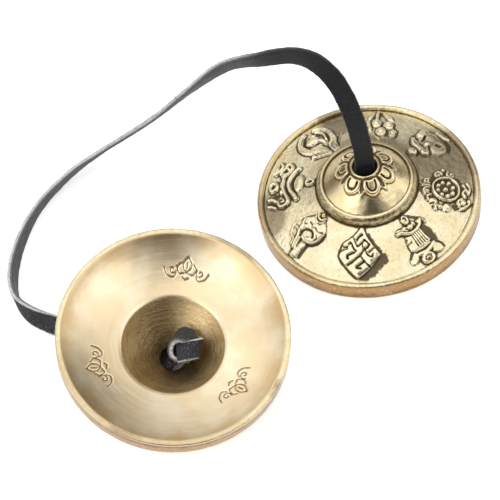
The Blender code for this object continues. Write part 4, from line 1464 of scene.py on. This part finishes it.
def lace_route():
    """The free stretch, from the right hinge to the left one, as (point, width direction)."""
    right = joint("right_tilt")[0]
    left = joint("left_tilt")[0]
    table = right - Vector((0, 0, HINGE_Z)) * MM
    width = Vector((LACE_WAY.y, -LACE_WAY.x, 0))
    route = [(right, Vector((1, 0, 0)))]
    for row in LACE_ROUTE:
        route.append((table + Vector(row[:3]) * MM, Vector(row[3:])))
    for widths_back, rise in LACE_TAIL:
        back = UNDER_LEN + GAP + widths_back * LACE_W
        route.append((left + LACE_WAY * back + Vector((0, 0, rise)), width))
    route.append((left + LACE_WAY * UNDER_LEN / 2, width))
    route.append((left, width))
    return route


def add_lace(finish):
    """The free stretch between the two holes; returns the parts of its route beyond its ends."""
    places = stations(lace_route(), LACE_STEP)
    spare = round(END_REACH / LACE_STEP)
    free = places[spare:-spare]
    mesh = lace_mesh("lace_free", [free], FIBRES_FREE, SEED_FREE, 0.0)
    lace = show("lace_free", mesh, finish)
    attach(lace, "lace")
    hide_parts("strap", "strap_under_left")
    exit_point = joint("right_tilt")[0]
    return places[: spare + 1], places[: -spare - 2 : -1]


def add_bending_end(side, own, outer, finish, seed):
    """The stretch from inside a hole to the free lace, curved where the lace leaves."""
    name = f"lace_end_{side}"
    hinge = joint(f"{side}_tilt")[0]
    boss = own.to_3x3() @ Vector((0, 0, 1))
    width = own.to_3x3() @ Vector((0, 1, 0))
    inside = [(hinge - boss * BORE_REACH * k, width) for k in (3, 2, 1)]
    places = stations(inside + outer, LACE_STEP)
    piece = show(name, lace_mesh(name, [places], FIBRES_END, seed, 0.0), finish)
    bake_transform(piece)


def knot_mesh(name, own):
    """A knot: its bands, and the lace that comes to it from the hole."""
    out = Vector(KNOT_OUT).normalized()
    across = (Vector(KNOT_ACROSS) - Vector(KNOT_ACROSS).dot(out) * out).normalized()
    middle = Vector((KNOT_X, KNOT_Y, CUP_END_Z - KNOT_ABOVE_HOLE)) * MM
    turned = Matrix((across, out.cross(across), out)).transposed()
    strips = []
    for band in (KNOT_LOOP, KNOT_FRONT, KNOT_CORE):
        route = []
        for row in band:
            route.append((middle + turned @ (Vector(row[:3]) * MM), turned @ Vector(row[3:])))
        strips.append(stations(route, KNOT_STEP))
    stub = (
        Vector((0, 0, HINGE_Z * MM - LACE_T / 2 - GAP)),
        Vector((0, 0, CUP_END_Z * MM - GAP)),
        middle.lerp(Vector((0, 0, CUP_END_Z * MM)), 0.5),
        middle,
    )
    strips.append(stations([(p, (0, 1, 0)) for p in stub], KNOT_STEP))
    # start_mm makes the stub count as unworn, so it stays dark: painted shade in the hole
    mesh = lace_mesh(name, strips, FIBRES_KNOT, SEED_KNOT, start_mm=KNOT_START)
    mesh.transform(own)
    return mesh


def main():
    add_camera()
    dark = leather("lace_leather", *LACE_COLOURS, LACE_WEAR)
    worn = leather("knot_leather", *KNOT_COLOURS, KNOT_WEAR_AND_SHADE)
    left = own_frame("left", -1, -1)
    right = own_frame("right", 1, 1)
    right_end, left_end = add_lace(dark)
    add_bending_end("right", right, right_end, dark, SEED_END_RIGHT)
    add_bending_end("left", left, left_end, dark, SEED_END_LEFT)
    metals = (cast_bronze(), turned_bronze(), cup_bronze())
    for side, own, metal_slot in (
        ("left", left, "bronze_hollow_up"), ("right", right, "bronze_boss_up")
    ):
        name = f"knot_{side}_lace"
        tied = show(name, knot_mesh(name, own), worn)
        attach(tied, f"knot_{side}")
        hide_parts(f"knot_{side}")
        name = f"cymbal_{side}_cast"
        cast = show(name, cymbal_mesh(name, own), *metals)
        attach(cast, f"cymbal_{side}")
        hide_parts(f"cymbal_{side}")
    add_floor()
    add_world()
    add_lamp()
    bpy.context.scene.view_settings.view_transform = "Standard"


main()
